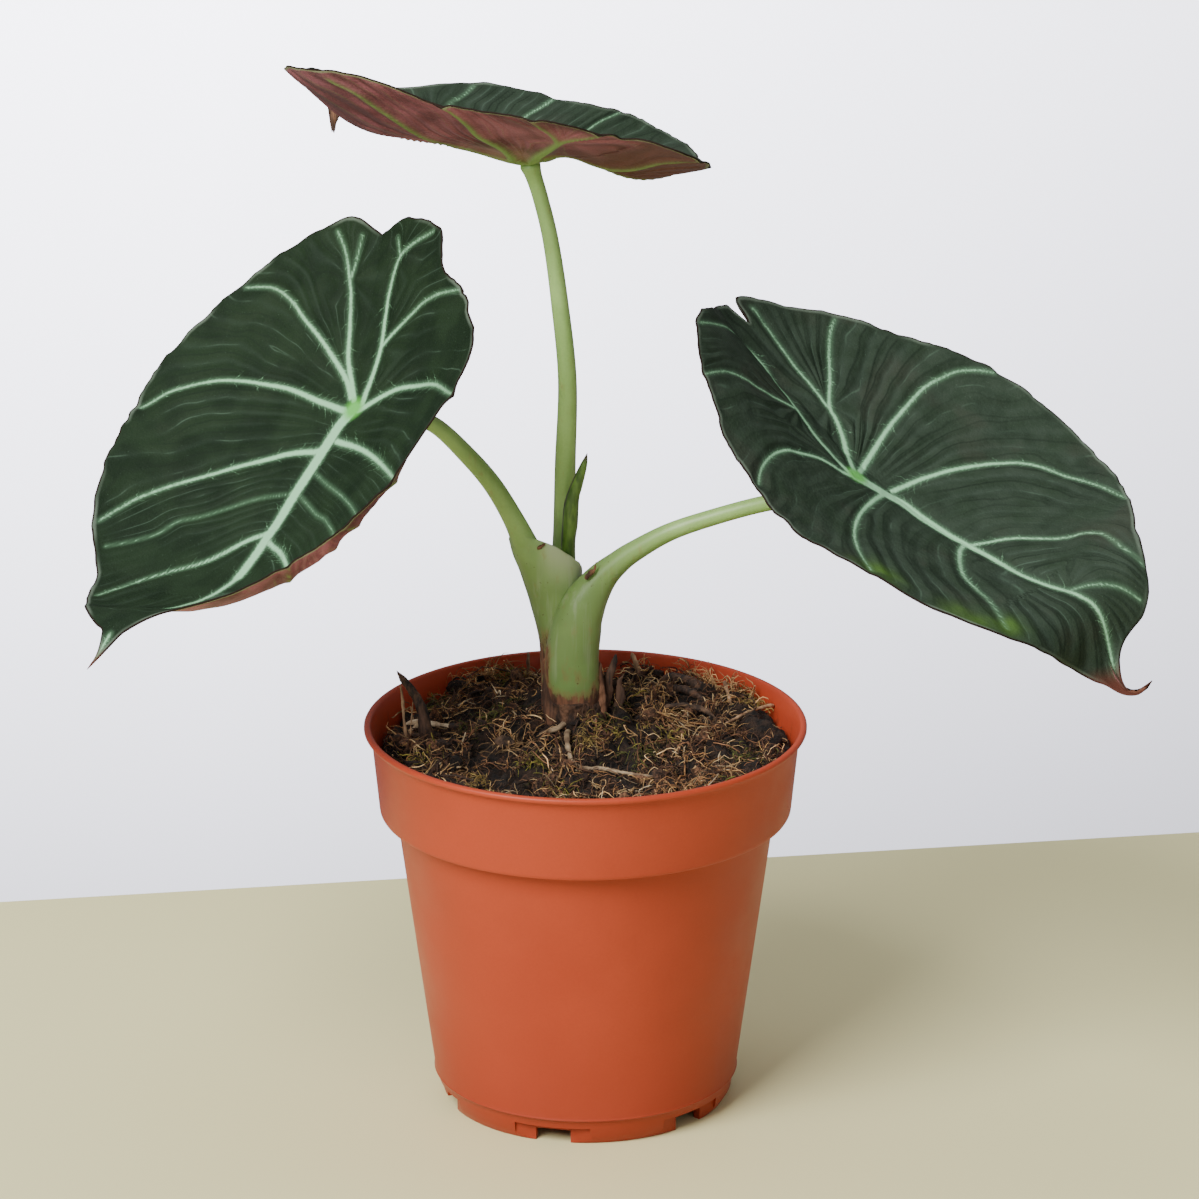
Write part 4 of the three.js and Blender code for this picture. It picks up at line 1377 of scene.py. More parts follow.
@dataclass(frozen=True)
class Strands:
    """A batch of strands: how many, how long and thick in millimetres, and how they bend."""

    name: str
    count: int
    length: float
    thick: float
    tints: tuple[Colour, ...]
    seed: int
    curl: float = 0.8
    wobble: float = 0.22
    pitch: float = 0.25
    droop: float = 0.7
    lift: float = 1.0
    ceiling: float = 4.0
    tuft_size: float = 2.0
    places: tuple[Point, ...] = ()
    spans: int = 7
    sides: int = 3


MOSS_PLACES = (
    (-21, 49), (-19, 46), (-42, 27), (-38, 33), (8, 14), (7.5, -5), (5, 1), (44, 32), (47, 27), (1.5, -11),
    (15, -18), (-31, 1), (-8, -38), (-29, -34), (44, -12), (36, -32), (-45, -12), (-24, 12), (22, -4),
    (-14, -22),
)
GOLD_PLACES = (
    (-36, 41), (-31, 44), (-27, 46), (37, 41), (42, 35), (31, 45), (28, -40), (-20, -8), (14, 34), (20, 8),
)
STRANDS = (
    Strands("peat_fibres", 3700, 6.5, 0.19, BROWNS, 41, curl=1.5, wobble=0.42, pitch=0.35, lift=1.2),
    Strands("golden_fibres", 1900, 5.5, 0.17, GOLDS, 43, curl=1.6, wobble=0.42, pitch=0.45, ceiling=5.0),
    Strands("golden_tufts", 800, 7.0, 0.16, GOLDS, 53, curl=1.9, wobble=0.45, pitch=0.7, droop=1.2,
            ceiling=6.5, tuft_size=3.2, places=GOLD_PLACES),
    Strands("moss_tufts", 1500, 3.8, 0.17, MOSSES, 45, curl=1.6, wobble=0.4, pitch=0.6, droop=1.1,
            ceiling=4.0, tuft_size=2.8, places=MOSS_PLACES),
    Strands("thin_roots", 70, 22.0, 0.25, GOLDS + BROWNS, 47, curl=1.8, wobble=0.34, pitch=0.1, droop=0.2,
            lift=1.6),
    Strands("straws", 110, 5.0, 0.26, STRAWS, 49, curl=0.4, wobble=0.1, pitch=0.35, droop=0.2, lift=2.0,
            ceiling=6.0),
)


@dataclass(frozen=True)
class SoilBed:
    """Peat that fills the pot, with its crumbs, fibres and moss."""

    edge_height: float = 99.6
    mound: float = 8.4
    mound_spread: float = 21.0
    crown: Point = (-2.5, 10.0)
    wall_radius: float = 55.6
    bottom: float = 6.5
    stem: Point = (-2.5, 9.5)
    stem_radius: float = 8.5
    heart: Point = (-3.0, 7.0)
    heart_radius: float = 8.6
    rays: int = 288
    rings: int = 74
    crumbs: int = 950
    paths: tuple[tuple[Point, ...], ...] = ()

    def top(self, x: Array, y: Array) -> Array:
        """Height of the smooth soil surface."""
        away = ((x - self.crown[0]) ** 2 + (y - self.crown[1]) ** 2) / (2 * self.mound_spread ** 2)
        lumps = 0.7 * np.sin(x * 0.21 + 1.3) * np.cos(y * 0.17 + 0.4)
        lumps = lumps + 0.45 * np.sin(x * 0.43 + y * 0.36 + 2.1) + 0.3 * np.cos(x * 0.71 - y * 0.58 + 0.7)
        return self.edge_height + self.mound * np.exp(-away) + 0.02 * y + 0.012 * x + lumps

    def clods(self, x: Array, y: Array) -> Array:
        """Height of the rough soil surface."""
        where = np.stack([x, y, np.zeros_like(x)], -1)
        rough = 2.8 * np.abs(noise(where, 9, 21)) + 2.0 * noise(where, 4.6, 22, 2)
        rough = rough + 0.8 * noise(where, 1.5, 24, 2)
        return self.top(x, y) + (rough - 0.9) * (1 - 0.85 * self.bared(x, y))

    def bared(self, x: Array, y: Array) -> Array:
        """1 over the roots and bark that lie open on the soil, 0 away from them."""
        if not self.paths:
            return np.zeros_like(x)
        spots = np.vstack([smooth_course([station[:2] for station in path], 1.0) for path in self.paths])
        return ease(np.min(np.hypot(x[:, None] - spots[:, 0], y[:, None] - spots[:, 1]), axis=1), 3.4, 1.0)

    def build_bed(self, finishes: Finishes) -> bpy.types.Object:
        """Builds the body of soil.

        Args:
            finishes: the materials.

        Returns:
            The soil.
        """
        angle = np.linspace(0, 2 * np.pi, self.rays, endpoint=False)
        wall = ((38.0, self.bottom), (40.0, 9.5), (49.9, 82.3), (50.1, 84.4), (54.5, 84.4),
                (self.wall_radius, 97.6))
        rows = [rings_of(wall, angle)]
        for share in np.linspace(1, 0.01, self.rings):
            x, y = self.wall_radius * share * np.cos(angle), self.wall_radius * share * np.sin(angle)
            rows.append(np.stack([x, y, self.clods(x, y) - 1.2 * ease(share, 0.97, 1.0)], -1))
        points = np.vstack([*rows, [[0, 0, self.bottom]]])
        count, rings = self.rays, len(wall) + self.rings
        faces = joined_rings(rings, count)
        faces.append(tuple((rings - 1) * count + k for k in range(count)))
        faces += [(len(points) - 1, (k + 1) % count, k) for k in range(count)]
        shell = Shell.empty()
        shell.add(points, faces)
        return shell.piece("peat_bed", Slot.SOIL, [finishes.soil], ["potting_soil"])

    def spots(self, count: int, seed: int, reach: float = 0.985) -> tuple[Array, Array, np.random.Generator]:
        """Random places on the soil, clear of the stem.

        Args:
            count: how many.
            seed: picks the pattern.
            reach: share of the wall's radius that they go out to.

        Returns:
            Their x and y, and the random generator to go on with.
        """
        random = np.random.default_rng(seed)
        r = self.wall_radius * reach * np.sqrt(random.random(count * 4))
        t = random.random(count * 4) * 2 * np.pi
        x, y = r * np.cos(t), r * np.sin(t)
        clump = noise(np.stack([x, y, np.zeros_like(x)], -1), 5.0, 91, 2) + random.normal(0, 0.16, len(x))
        clear = (np.hypot(x - self.stem[0], y - self.stem[1]) > self.stem_radius) & (clump > 0.02)
        return x[clear][:count], y[clear][:count], random

    def build_crumbs(self, finishes: Finishes) -> bpy.types.Object:
        """Builds loose crumbs and clods of peat and bark.

        Args:
            finishes: the materials.

        Returns:
            The crumbs.
        """
        form = bmesh.new()
        bmesh.ops.create_icosphere(form, subdivisions=2, radius=1.0)
        ball = np.array([v.co for v in form.verts])
        corners = [tuple(v.index for v in f.verts) for f in form.faces]
        form.free()
        x, y, random = self.spots(self.crumbs, 5)
        shell = Shell.empty()
        for number, (px, py) in enumerate(zip(x, y)):
            size = 0.35 + 2.3 * random.random() ** 3.5
            shape = ball * (1 + 0.5 * noise(ball + number * 7.0, 0.9, 51, 2))[:, None]
            shape = shape * size * (0.35 + 1.3 * random.random(3) ** 1.3)
            turn = random.random() * 2 * np.pi
            cos, sin = math.cos(turn), math.sin(turn)
            spin = np.array([[cos, -sin, 0], [sin, cos, 0], [0, 0, 1]])
            centre = np.array([px, py])
            centre *= min(1.0, (self.wall_radius - 1.2 - size * 1.6) / max(math.hypot(px, py), TINY))
            ground = self.clods(centre[:1], centre[1:])[0]
            tint = np.array(CRUMB_TINTS[random.integers(len(CRUMB_TINTS))]) * (0.6 + 0.8 * random.random())
            shell.add(shape @ spin + np.array([*centre, ground + 0.15 * size]), corners, 0,
                      tint=np.tile(tint, (len(ball), 1)))
        return shell.piece("peat_crumbs", Slot.SOIL, [finishes.crumb], [], sharp=50)

    def build_strands(self, finishes: Finishes, batch: Strands) -> bpy.types.Object:
        """Builds curled strands that lie on the soil or stand in tufts.

        Args:
            finishes: the materials.
            batch: how many, how long and how tangled they are.

        Returns:
            The strands.
        """
        random = np.random.default_rng(batch.seed)
        count, spans, sides = batch.count, batch.spans, batch.sides
        if batch.places:
            tuft_x, tuft_y = np.array(batch.places, float).T
            owner = random.integers(len(tuft_x), size=count)
            x = tuft_x[owner] + random.normal(0, batch.tuft_size, count)
            y = tuft_y[owner] + random.normal(0, batch.tuft_size, count)
            shades = np.array(batch.tints)[random.integers(len(batch.tints), size=len(tuft_x))][owner]
        else:
            x, y, _ = self.spots(count, batch.seed + 1, 0.97)
            shades = np.array(batch.tints)[random.integers(len(batch.tints), size=count)]
        t = np.linspace(0, 1, spans)[None]
        length = batch.length * (0.35 + 1.3 * random.random(count) ** 1.7)[:, None]
        turn = (random.random(count) * 2 * np.pi)[:, None] + random.normal(0, batch.curl, count)[:, None] * t
        turn = turn + np.cumsum(random.normal(0, batch.wobble, (count, spans)), axis=1)
        pitch = random.normal(batch.pitch, 0.35, count)[:, None] - batch.droop * t
        pitch = pitch + np.cumsum(random.normal(0, 0.6 * batch.wobble, (count, spans)), axis=1)
        step = length / (spans - 1)
        cx = x[:, None] + np.cumsum(np.cos(turn) * np.cos(pitch), axis=1) * step
        cy = y[:, None] + np.cumsum(np.sin(turn) * np.cos(pitch), axis=1) * step
        hold = np.minimum(1, (self.wall_radius - 0.5) / np.maximum(np.hypot(cx, cy), TINY))
        hx, hy = self.heart
        cx, cy = cx * hold - hx, cy * hold - hy
        clear = np.maximum(1, self.heart_radius / np.maximum(np.hypot(cx, cy), TINY))
        cx, cy = cx * clear + hx, cy * clear + hy
        ground = self.clods(cx.ravel(), cy.ravel()).reshape(cx.shape)
        rise = random.random(count)[:, None] * batch.lift
        cz = ground[:, :1] + np.cumsum(np.sin(pitch), axis=1) * step + rise
        room = batch.ceiling * (1 - 0.93 * self.bared(cx.ravel(), cy.ravel()).reshape(cx.shape))
        cz = np.minimum(np.maximum(cz, ground + 0.12), ground + room)
        centre = np.stack([cx, cy, cz], -1)
        thick = batch.thick * (0.5 + random.random(count) ** 2)[:, None]
        thick = thick * np.interp(t, (0, 0.2, 0.7, 1), (0.8, 1, 0.8, 0.25))
        side = np.stack([-np.sin(turn), np.cos(turn), np.zeros_like(turn)], -1)
        around = np.linspace(0, 2 * np.pi, sides, endpoint=False)
        ring = np.cos(around)[:, None] * side[:, :, None] + np.sin(around)[:, None] * np.array([0, 0, 1.0])
        points = centre[:, :, None] + ring * thick[:, :, None, None]
        starts = np.arange(count)[:, None, None] * spans * sides
        faces = (np.array(joined_rings(spans, sides))[None] + starts).reshape(-1, 4)
        height = cz.mean(axis=1) - self.top(cx.mean(axis=1), cy.mean(axis=1))
        shades = shades * (0.4 + 1.1 * random.random((count, 1)) ** 1.5)
        # painted shade: strands lying low, near or below the smooth soil surface, are darkened down to an
        # eighth of their tint
        shades = shades * (0.12 + 0.88 * ease(height, -1.0, 2.2))[:, None]
        shell = Shell.empty()
        shell.add(points.reshape(-1, 3), faces, 0, tint=np.repeat(shades, spans * sides, axis=0))
        return shell.piece(batch.name, Slot.SOIL, [finishes.fibre], [])

    def height(self, x: float, y: float) -> float:
        """Height of the smooth soil surface at one place."""
        return float(self.top(np.array([x]), np.array([y]))[0])

    def lay(self, stations: Sequence[Point], sunk: float = 0.8, clearance: float = 1.0) -> tuple[Point, ...]:
        """Stations that follow the soil where their height is 0; other heights stay.

        Args:
            stations: x, y, z and half width of each.
            sunk: share of the half width between the centre and what it lies on.
            clearance: height over the smooth soil, where the loose strands begin.

        Returns:
            The stations with their heights.
        """
        return tuple((x, y, self.height(x, y) + r * sunk + clearance if z == 0 else z, r)
                     for x, y, z, r in stations)


@dataclass(frozen=True)
class Lamp:
    """A large soft lamp: where it stands and what it points at in metres, its side, its watts and colour."""

    name: str
    place: Point
    target: Point
    size: float
    power: float
    colour: Colour

    def build(self) -> None:
        """Adds the lamp to the scene."""
        data = bpy.data.lights.new(self.name, "AREA")
        data.shape, data.size, data.energy, data.color = "SQUARE", self.size, self.power, self.colour
        made = bpy.data.objects.new(self.name, data)
        made.location = self.place
        aim = Vector(self.target) - Vector(self.place)
        made.rotation_euler = aim.to_track_quat("-Z", "Y").to_euler()
        bpy.context.scene.collection.objects.link(made)


@dataclass(frozen=True)
class Studio:
    """Pale table top, soft light and the camera."""

    eye: Point = (0.0, -1.6, 0.69184)
    pitch: float = 0.33059
    yaw: float = 0.00256
    lens: float = 188.2
    shift: float = -1.0 / 1199
    ambient: float = 0.3
    wall_rise: Point = (-0.37, -0.235, 1.9, 6.0)
    wall_turn: Point = (-0.06, 0.1, 1.0, 0.58)
    back_edge: tuple[Point, Point] = ((-0.172, 0.139), (0.172, 0.193))
    table_size: Point = (1.6, 2.6, 0.03)
    table_light: Colour = (0.810, 0.765, 0.415)
    table_dark: Colour = (0.780, 0.740, 0.400)
    table_bounce: Colour = (0.620, 0.580, 0.340)
    lamps: tuple[Lamp, ...] = (
        Lamp("window_light", (-0.92, -1.17, 1.44), (0, 0, 0.12), 1.1, 68.0, (1.0, 0.985, 0.96)),
        Lamp("fill_light", (1.0, -1.8, 0.9), (0, 0, 0.14), 1.5, 4.0, (0.97, 0.985, 1.0)),
        Lamp("top_light", (-0.2, 0.4, 1.7), (0, 0, 0.12), 1.4, 9.0, (1.0, 1.0, 1.0)),
    )

    def build_table(self) -> bpy.types.Object:
        """Builds the table top, whose back edge shows behind the pot."""
        (x0, y0), (x1, y1) = self.back_edge
        along = np.array([x1 - x0, y1 - y0])
        along /= np.linalg.norm(along)
        front = np.array([along[1], -along[0]])
        middle = np.array([(x0 + x1) / 2, (y0 + y1) / 2])
        wide, deep, thick = self.table_size
        corners = [middle - along * wide, middle + along * wide, middle + along * wide + front * deep,
                   middle - along * wide + front * deep]
        points = [(*c, 0.0) for c in corners] + [(*c, -thick) for c in corners]
        faces = [(3, 2, 1, 0), (4, 5, 6, 7), (0, 1, 5, 4), (1, 2, 6, 5), (2, 3, 7, 6), (3, 0, 4, 7)]
        mesh = bpy.data.meshes.new("table_top")
        mesh.from_pydata(points, [], faces)
        table = bpy.data.objects.new(mesh.name, mesh)
        bpy.context.scene.collection.objects.link(table)
        s = Sheet("table_paint")
        cloud = s.band(s.grain(s.place(), 4.0, 2.0), 0.3, 0.7)
        colour = s.mix(cloud, self.table_dark, self.table_light)
        bounced = s.node("ShaderNodeLightPath").outputs["Is Diffuse Ray"]
        colour = s.mix(bounced, colour, self.table_bounce)
        normal = s.bump(s.grain(s.place(), 900.0, 2.0), 0.05, 0.0002)
        mesh.materials.append(s.set(Base_Color=colour, Roughness=0.5, Normal=normal, Specular_IOR_Level=0.3))
        return table

    def build_light(self) -> None:
        """Sets the pale surroundings, a glowing backdrop with painted light falloff that only the camera
        sees, and the soft lamps.
        """
        world = bpy.data.worlds.new("studio")
        bpy.context.scene.world = world
        world.use_nodes = True
        tree = world.node_tree
        tree.nodes.clear()
        out = tree.nodes.new("ShaderNodeOutputWorld")
        seen, cast = tree.nodes.new("ShaderNodeBackground"), tree.nodes.new("ShaderNodeBackground")
        switch, path = tree.nodes.new("ShaderNodeMixShader"), tree.nodes.new("ShaderNodeLightPath")
        place, parts = tree.nodes.new("ShaderNodeTexCoord"), tree.nodes.new("ShaderNodeSeparateXYZ")
        rise, turn = tree.nodes.new("ShaderNodeMapRange"), tree.nodes.new("ShaderNodeMapRange")
        product = tree.nodes.new("ShaderNodeMath")
        product.operation = "MULTIPLY"
        cast.inputs["Color"].default_value = (1.0, 1.0, 1.02, 1.0)
        cast.inputs["Strength"].default_value = self.ambient
        # painted light: camera rays see a glowing backdrop, brighter high up and darker to the right; other
        # rays get the even ambient
        seen.inputs["Color"].default_value = (1.0, 1.0, 1.12, 1.0)
        for node, values in ((rise, self.wall_rise), (turn, self.wall_turn)):
            for key, value in zip(("From Min", "From Max", "To Min", "To Max"), values):
                node.inputs[key].default_value = value
        for source, target in (
            (place.outputs["Generated"], parts.inputs[0]), (parts.outputs["Z"], rise.inputs["Value"]),
            (parts.outputs["X"], turn.inputs["Value"]), (rise.outputs[0], product.inputs[0]),
            (turn.outputs[0], product.inputs[1]), (product.outputs[0], seen.inputs["Strength"]),
            (path.outputs["Is Camera Ray"], switch.inputs[0]), (cast.outputs[0], switch.inputs[1]),
            (seen.outputs[0], switch.inputs[2]), (switch.outputs[0], out.inputs[0]),
        ):
            tree.links.new(source, target)
        for lamp in self.lamps:
            lamp.build()

    def build_camera(self) -> None:
        """Sets the camera at the photograph's angle."""
        data = bpy.data.cameras.new("camera")
        data.sensor_width = 36.0
        data.lens = self.lens
        data.shift_x = self.shift
        data.clip_start = 0.05
        data.clip_end = 30.0
        made = bpy.data.objects.new("camera", data)
        made.location = self.eye
        made.rotation_euler = (math.pi / 2 - self.pitch, 0.0, -self.yaw)
        bpy.context.scene.collection.objects.link(made)
        bpy.context.scene.camera = made


LEFT_BLADE = Blade(
    node="blade_left", at=(-64.7, -10, 199.0), tip=(-0.332, -0.628, -0.703), face=(-0.526, -0.496, 0.691),
    left=(120, 109, 104, 96.5, 88, 78.5, 71.5, 59, 52, 52.5, 48.5, 47.6, 55.3, 55.3, 51),
    right=(120, 108, 105.7, 100.2, 89.7, 78.5, 75.2, 67.7, 61.7, 60.2, 57.8, 57.4, 57.8, 59.2, 51),
    bend=(0.31, 0, -0.21, -0.85, -1.07, -0.32, -0.02), sweep=(0.15, 0, -0.18, 0.04, 0.13, 0.07, -0.38),
    rise=((0.05, -0.28), (0.05, -0.14)), curl=((0.5, 1.27), (0.27, 0.35)), twist=-0.09,
    hub=(-0.5, 4.5), tail_power=0.6, tail_start=112.0, ridge_strength=0.6, bloom=0.12, wave=0.55, seed=1,
    pushes=(Push(-2, 50, 13, (1.4, 0, -0.6)), Push(27, 44, 9, (1.3, 0, -0.9)),
            Push(-39, 27, 5.5, (-2.0, 0, -0.3)), Push(66, 30, 9, (-0.6, 0, 0.9))),
    veins=(
        Vein(((-0.5, 4.5), (5.5, 1.5), (14.5, 0), (24.5, -1), (39.5, -0.5), (58, 1), (80, 0),
              (92, -0.3)), 2.8, 0.6, 0),
        Vein(((109, 0), (119, 0)), 0.8, 0.4, 0),
        Vein(((0, 1.5), (-2.5, -8.5), (-5.5, -19), (-6.5, -29), (-6.5, -35), (-5.5, -42), (-2, -49),
              (3, -54.5), (12, -59)), 2.0, 0.5, -1),
        Vein(((13, -1), (14.5, -8.5), (18.5, -16.5), (24.5, -25), (34, -34.5), (43.5, -41.5), (51, -45),
              (57.5, -47)), 2.0, 0.5, -1),
        Vein(((40.5, -1), (44, -5.5), (50, -9), (55.5, -13), (61, -18.5), (67, -23), (73, -25.5),
              (81, -26.5)), 1.7, 0.4, -1),
        Vein(((-4, 2), (-9.5, -2), (-15.5, -8), (-22.5, -15), (-28, -21), (-33, -25.5), (-36.5, -30),
              (-38, -34), (-38, -41)), 1.8, 0.45, -1),
        Vein(((-3, 3.5), (-15.5, -3.5), (-26, -6), (-35, -7.5), (-40, -9), (-48, -11.5),
              (-54, -14.5)), 1.9, 0.4, -1),
        Vein(((-40, -8.5), (-45.5, -7.5), (-52, -6.5)), 0.6, 0.35, -1),
        Vein(((-2, 7), (-11.5, 7.5), (-18.5, 7.5), (-27, 6.5), (-34, 6), (-40.5, 7), (-44, 8.5),
              (-46.5, 12.5), (-49, 21)), 2.0, 0.5, 1),
        Vein(((-18.5, 7.5), (-23, 12), (-26.5, 17), (-29.5, 22), (-31, 29), (-30.5, 38)), 1.1, 0.4, 1),
        Vein(((-44, 8.5), (-49.5, 7)), 0.5, 0.35, 1),
        Vein(((0, 6.5), (-3, 13), (-5, 19.5), (-5, 28.5), (-4, 36.5), (0.5, 47), (3.5, 55)), 1.9, 0.5, 1),
        Vein(((9.5, 3.5), (11.5, 13), (14.5, 21.5), (18, 29.5), (25, 45), (30, 54)), 1.8, 0.5, 1),
        Vein(((19.5, 1), (22.5, 8), (26, 17.5), (29.5, 25.5), (36, 38), (43, 49)), 0.22, 0.1, 1),
        Vein(((27, 0.5), (31.5, 10.5), (34, 18), (44, 36), (51, 44)), 0.22, 0.1, 1),
        Vein(((43, 1.5), (46, 9.5), (54, 20), (66, 32), (74, 38)), 1.6, 0.4, 1),
        Vein(((27, -2), (31, -11), (36.5, -17.5), (42.5, -23.5), (47, -28.5), (53.5, -31.5),
              (62.5, -40)), 0.22, 0.1, -1),
        Vein(((-0.5, 4.5), (5.5, 1.5), (14.5, 0), (24.5, -1), (39.5, -0.5), (56, 0.9)), 3.9, 2.5, 0),
    ),
)

RIGHT_BLADE = Blade(
    node="blade_right", at=(71.6, -10, 185), tip=(0.683, -0.515, -0.518), face=(0.406, -0.322, 0.855),
    left=(120, 99.5, 95.2, 92, 85.4, 79.4, 70.8, 62.2, 56, 50.6, 47, 49, 52, 56.6, 56.5),
    right=(120, 106, 103.2, 96.7, 89.6, 80.5, 70.8, 61.5, 55, 52.5, 53.5, 58.5, 61, 56.5, 56.5),
    bend=(0.26, 0, -0.36, -0.42, 0.76, -0.07, -1.71), sweep=(0.1, 0, -0.16, -0.03, 0.1, -0.42, 0.25),
    rise=((0.16, 0.03), (0.29, -0.35)), curl=((0.35, -0.81), (-0.22, 0.99)), twist=0.35,
    hub=(5.5, -7), tail_power=0.36, tail_start=99.0, ridge_strength=0.8, bloom=0.75, wave=0.8, seed=2,
    nicks=((171.6, 1.7, 7.5),), pushes=(Push(-54.5, 10.0, 2.2, (-1.6, -0.8, 0.6)),),
    yellow_spots=((49, -44, 4.0), (76, -27, 3.5), (70, -35, 4.0)),
    veins=(
        Vein(((5.5, -7.5), (11.5, -4), (17.5, -1), (25, -0.5), (33, 0), (42.5, 0), (51.5, 0), (62, -1),
              (71.5, -0.5), (79.5, 0.5), (84, 1.5), (92, 1.5), (97, 1), (104, 0)), 3.2, 0.5, 0),
        Vein(((5.5, -7.5), (11.5, -4), (17.5, -1), (25, -0.5), (33, 0)), 5.2, 2.4, 0),
        Vein(((13.5, 1), (14.5, 9.5), (16, 15.5), (18.5, 22.5), (22.5, 29.5), (27, 35), (32, 38), (38, 39.5),
              (45, 41.5), (52.5, 42.5), (62.5, 41.5)), 1.6, 0.45, 1),
        Vein(((43, 1), (46.5, 6.5), (51, 11), (56.5, 14.5), (62, 18.5), (65, 22), (69.5, 24), (75.5, 22.5),
              (79, 21), (83.5, 21)), 1.2, 0.35, 1),
        Vein(((77, 1), (80, 5.5), (84, 10.5), (88, 14)), 0.5, 0.3, 1),
        Vein(((4.5, -4), (0, 8.5), (-3, 17.5), (-5, 26), (-6.5, 34.5), (-6, 40.5), (-4.5, 46), (-1.5, 50),
              (2, 53)), 1.8, 0.4, 1),
        Vein(((4, -6), (-6, 2.5), (-12.5, 6), (-17, 8), (-23.5, 15.5), (-30.5, 22.5), (-34.5, 27),
              (-36.5, 30.5)), 1.9, 0.4, 1),
        Vein(((-17.5, 7.5), (-26, 9), (-34, 10), (-42.5, 11.5), (-51.5, 13)), 0.9, 0.35, 1),
        Vein(((4.5, -9), (-5.5, -9), (-14.5, -7.5), (-22.5, -5), (-32.5, -0.5), (-39.5, 0.5), (-44, -1),
              (-47.5, -5.5), (-50, -17.5), (-52.5, -28.5)), 1.8, 0.35, -1),
        Vein(((-20, -6), (-25, -13.5), (-29, -20), (-33, -25), (-36, -30.5), (-38, -41)), 0.9, 0.35, -1),
        Vein(((5, -10), (2, -13), (-2.5, -17), (-5, -22.5), (-7.5, -29.5), (-7.5, -37), (-4.5, -45.5),
              (0, -51)), 1.5, 0.5, -1),
        Vein(((14, -4), (15.5, -10), (19.5, -20.5), (25.5, -29.5), (32.5, -36), (40.5, -41),
              (48.5, -45.5)), 1.6, 0.35, -1),
        Vein(((41.5, -0.5), (44, -5), (49, -10.5), (54.5, -15), (61, -18), (67.5, -20.5),
              (76.5, -27.5)), 1.4, 0.35, -1),
    ),
)

TOP_BLADE = Blade(
    node="blade_top", at=(-14.8, 10, 262.4), tip=(-0.716, 0.653, -0.246), face=(-0.06, 0.294, 0.954),
    left=(113.5, 91.5, 91.5, 87, 82.5, 78, 68.5, 65.5, 59, 44.5, 43.5, 48.5, 51.5, 48, 51),
    right=(113.5, 99, 91.5, 84, 74.5, 62.5, 55.5, 52.5, 53.5, 50.5, 45.2, 45.2, 50.5, 54, 51),
    bend=(0.08, 0, -0.33, -0.35, -0.62, 1.45, 1.84), sweep=(-0.6, 0, -0.5, -0.2, 0.3, 0.4, 0.3),
    rise=((0.23, 0.13), (-0.11, 0.54)), curl=((0.29, 0.38), (0.47, -0.09)), twist=-0.13,
    hub=(3, -2.5), tail_power=0.85, tail_start=103.0, ridge_strength=1.0, bloom=0.6, wave=0.22, seed=3,
    nicks=((177, 3, 5),),
    pushes=(Push(-20, -20, 9, (0, 0, -3.8)), Push(-5, -12, 6.5, (0, 0, 4.2)), Push(27, 1, 12, (0, 0, 2.4)),
            Push(37, 30, 10, (0, 0, -3)), Push(69, -20, 10, (0, 0, -0.3)), Push(5, -50, 14, (0, 0, -0.2)),
            Push(44, -38, 12, (0, 0, -1.2)), Push(90, -7, 8, (0, 0, -1.6)), Push(16, 7, 9, (0, 0, 1.5)),
            Push(62, 40, 7, (0, 0, -0.3)), Push(-32, -25, 6, (0, 0, -1))),
    veins=(
        Vein(((3, -2.5), (12, -1), (25, 0), (40, 0), (60, 0), (80, 0), (100, 0)), 2.6, 0.5, 0),
        Vein(((20, 0), (17, 10), (15.5, 17.5), (15, 23.5), (13.5, 34), (13.5, 41.5), (14.5, 50),
              (18, 56)), 1.8, 0.5, 1),
        Vein(((4, -1), (3.5, 3), (1, 5.5), (-2.5, 13), (-3.5, 19), (-4.5, 24.5), (-8.5, 32), (-11, 41),
              (-7, 46.5)), 2.1, 0.5, 1),
        Vein(((1, -2), (-5, 2.5), (-11, 6), (-24.5, 11), (-33.5, 11.5), (-41.5, 10), (-48, 9)), 2.8, 0.5, 1),
        Vein(((-24.5, 11), (-33, 18), (-38, 23.5), (-42, 26.5)), 0.9, 0.35, 1),
        Vein(((26, 0), (38, 14), (48, 26), (60, 36)), 0.6, 0.3, 1),
        Vein(((46, 0), (56, 10), (68, 18), (78, 22)), 0.6, 0.3, 1),
        Vein(((2, -4), (8, -14), (14, -24), (20, -32), (22.5, -36), (24, -41), (23, -46),
              (22, -50)), 0.8, 0.5, -1),
        Vein(((18, -1), (28, -10), (38, -18), (44.5, -23.5), (46, -28.5), (47, -32.5),
              (48, -36)), 0.9, 0.6, -1),
        Vein(((50, -1), (58, -6), (68, -11), (68.5, -14), (69, -17), (70, -20)), 0.8, 0.5, -1),
        Vein(((1, -3), (-12, -8), (-26, -12), (-38, -14), (-48, -18)), 0.6, 0.2, -1),
        Vein(((-12, -8), (-20, -20), (-24, -34), (-22, -44)), 0.4, 0.2, -1),
    ),
)


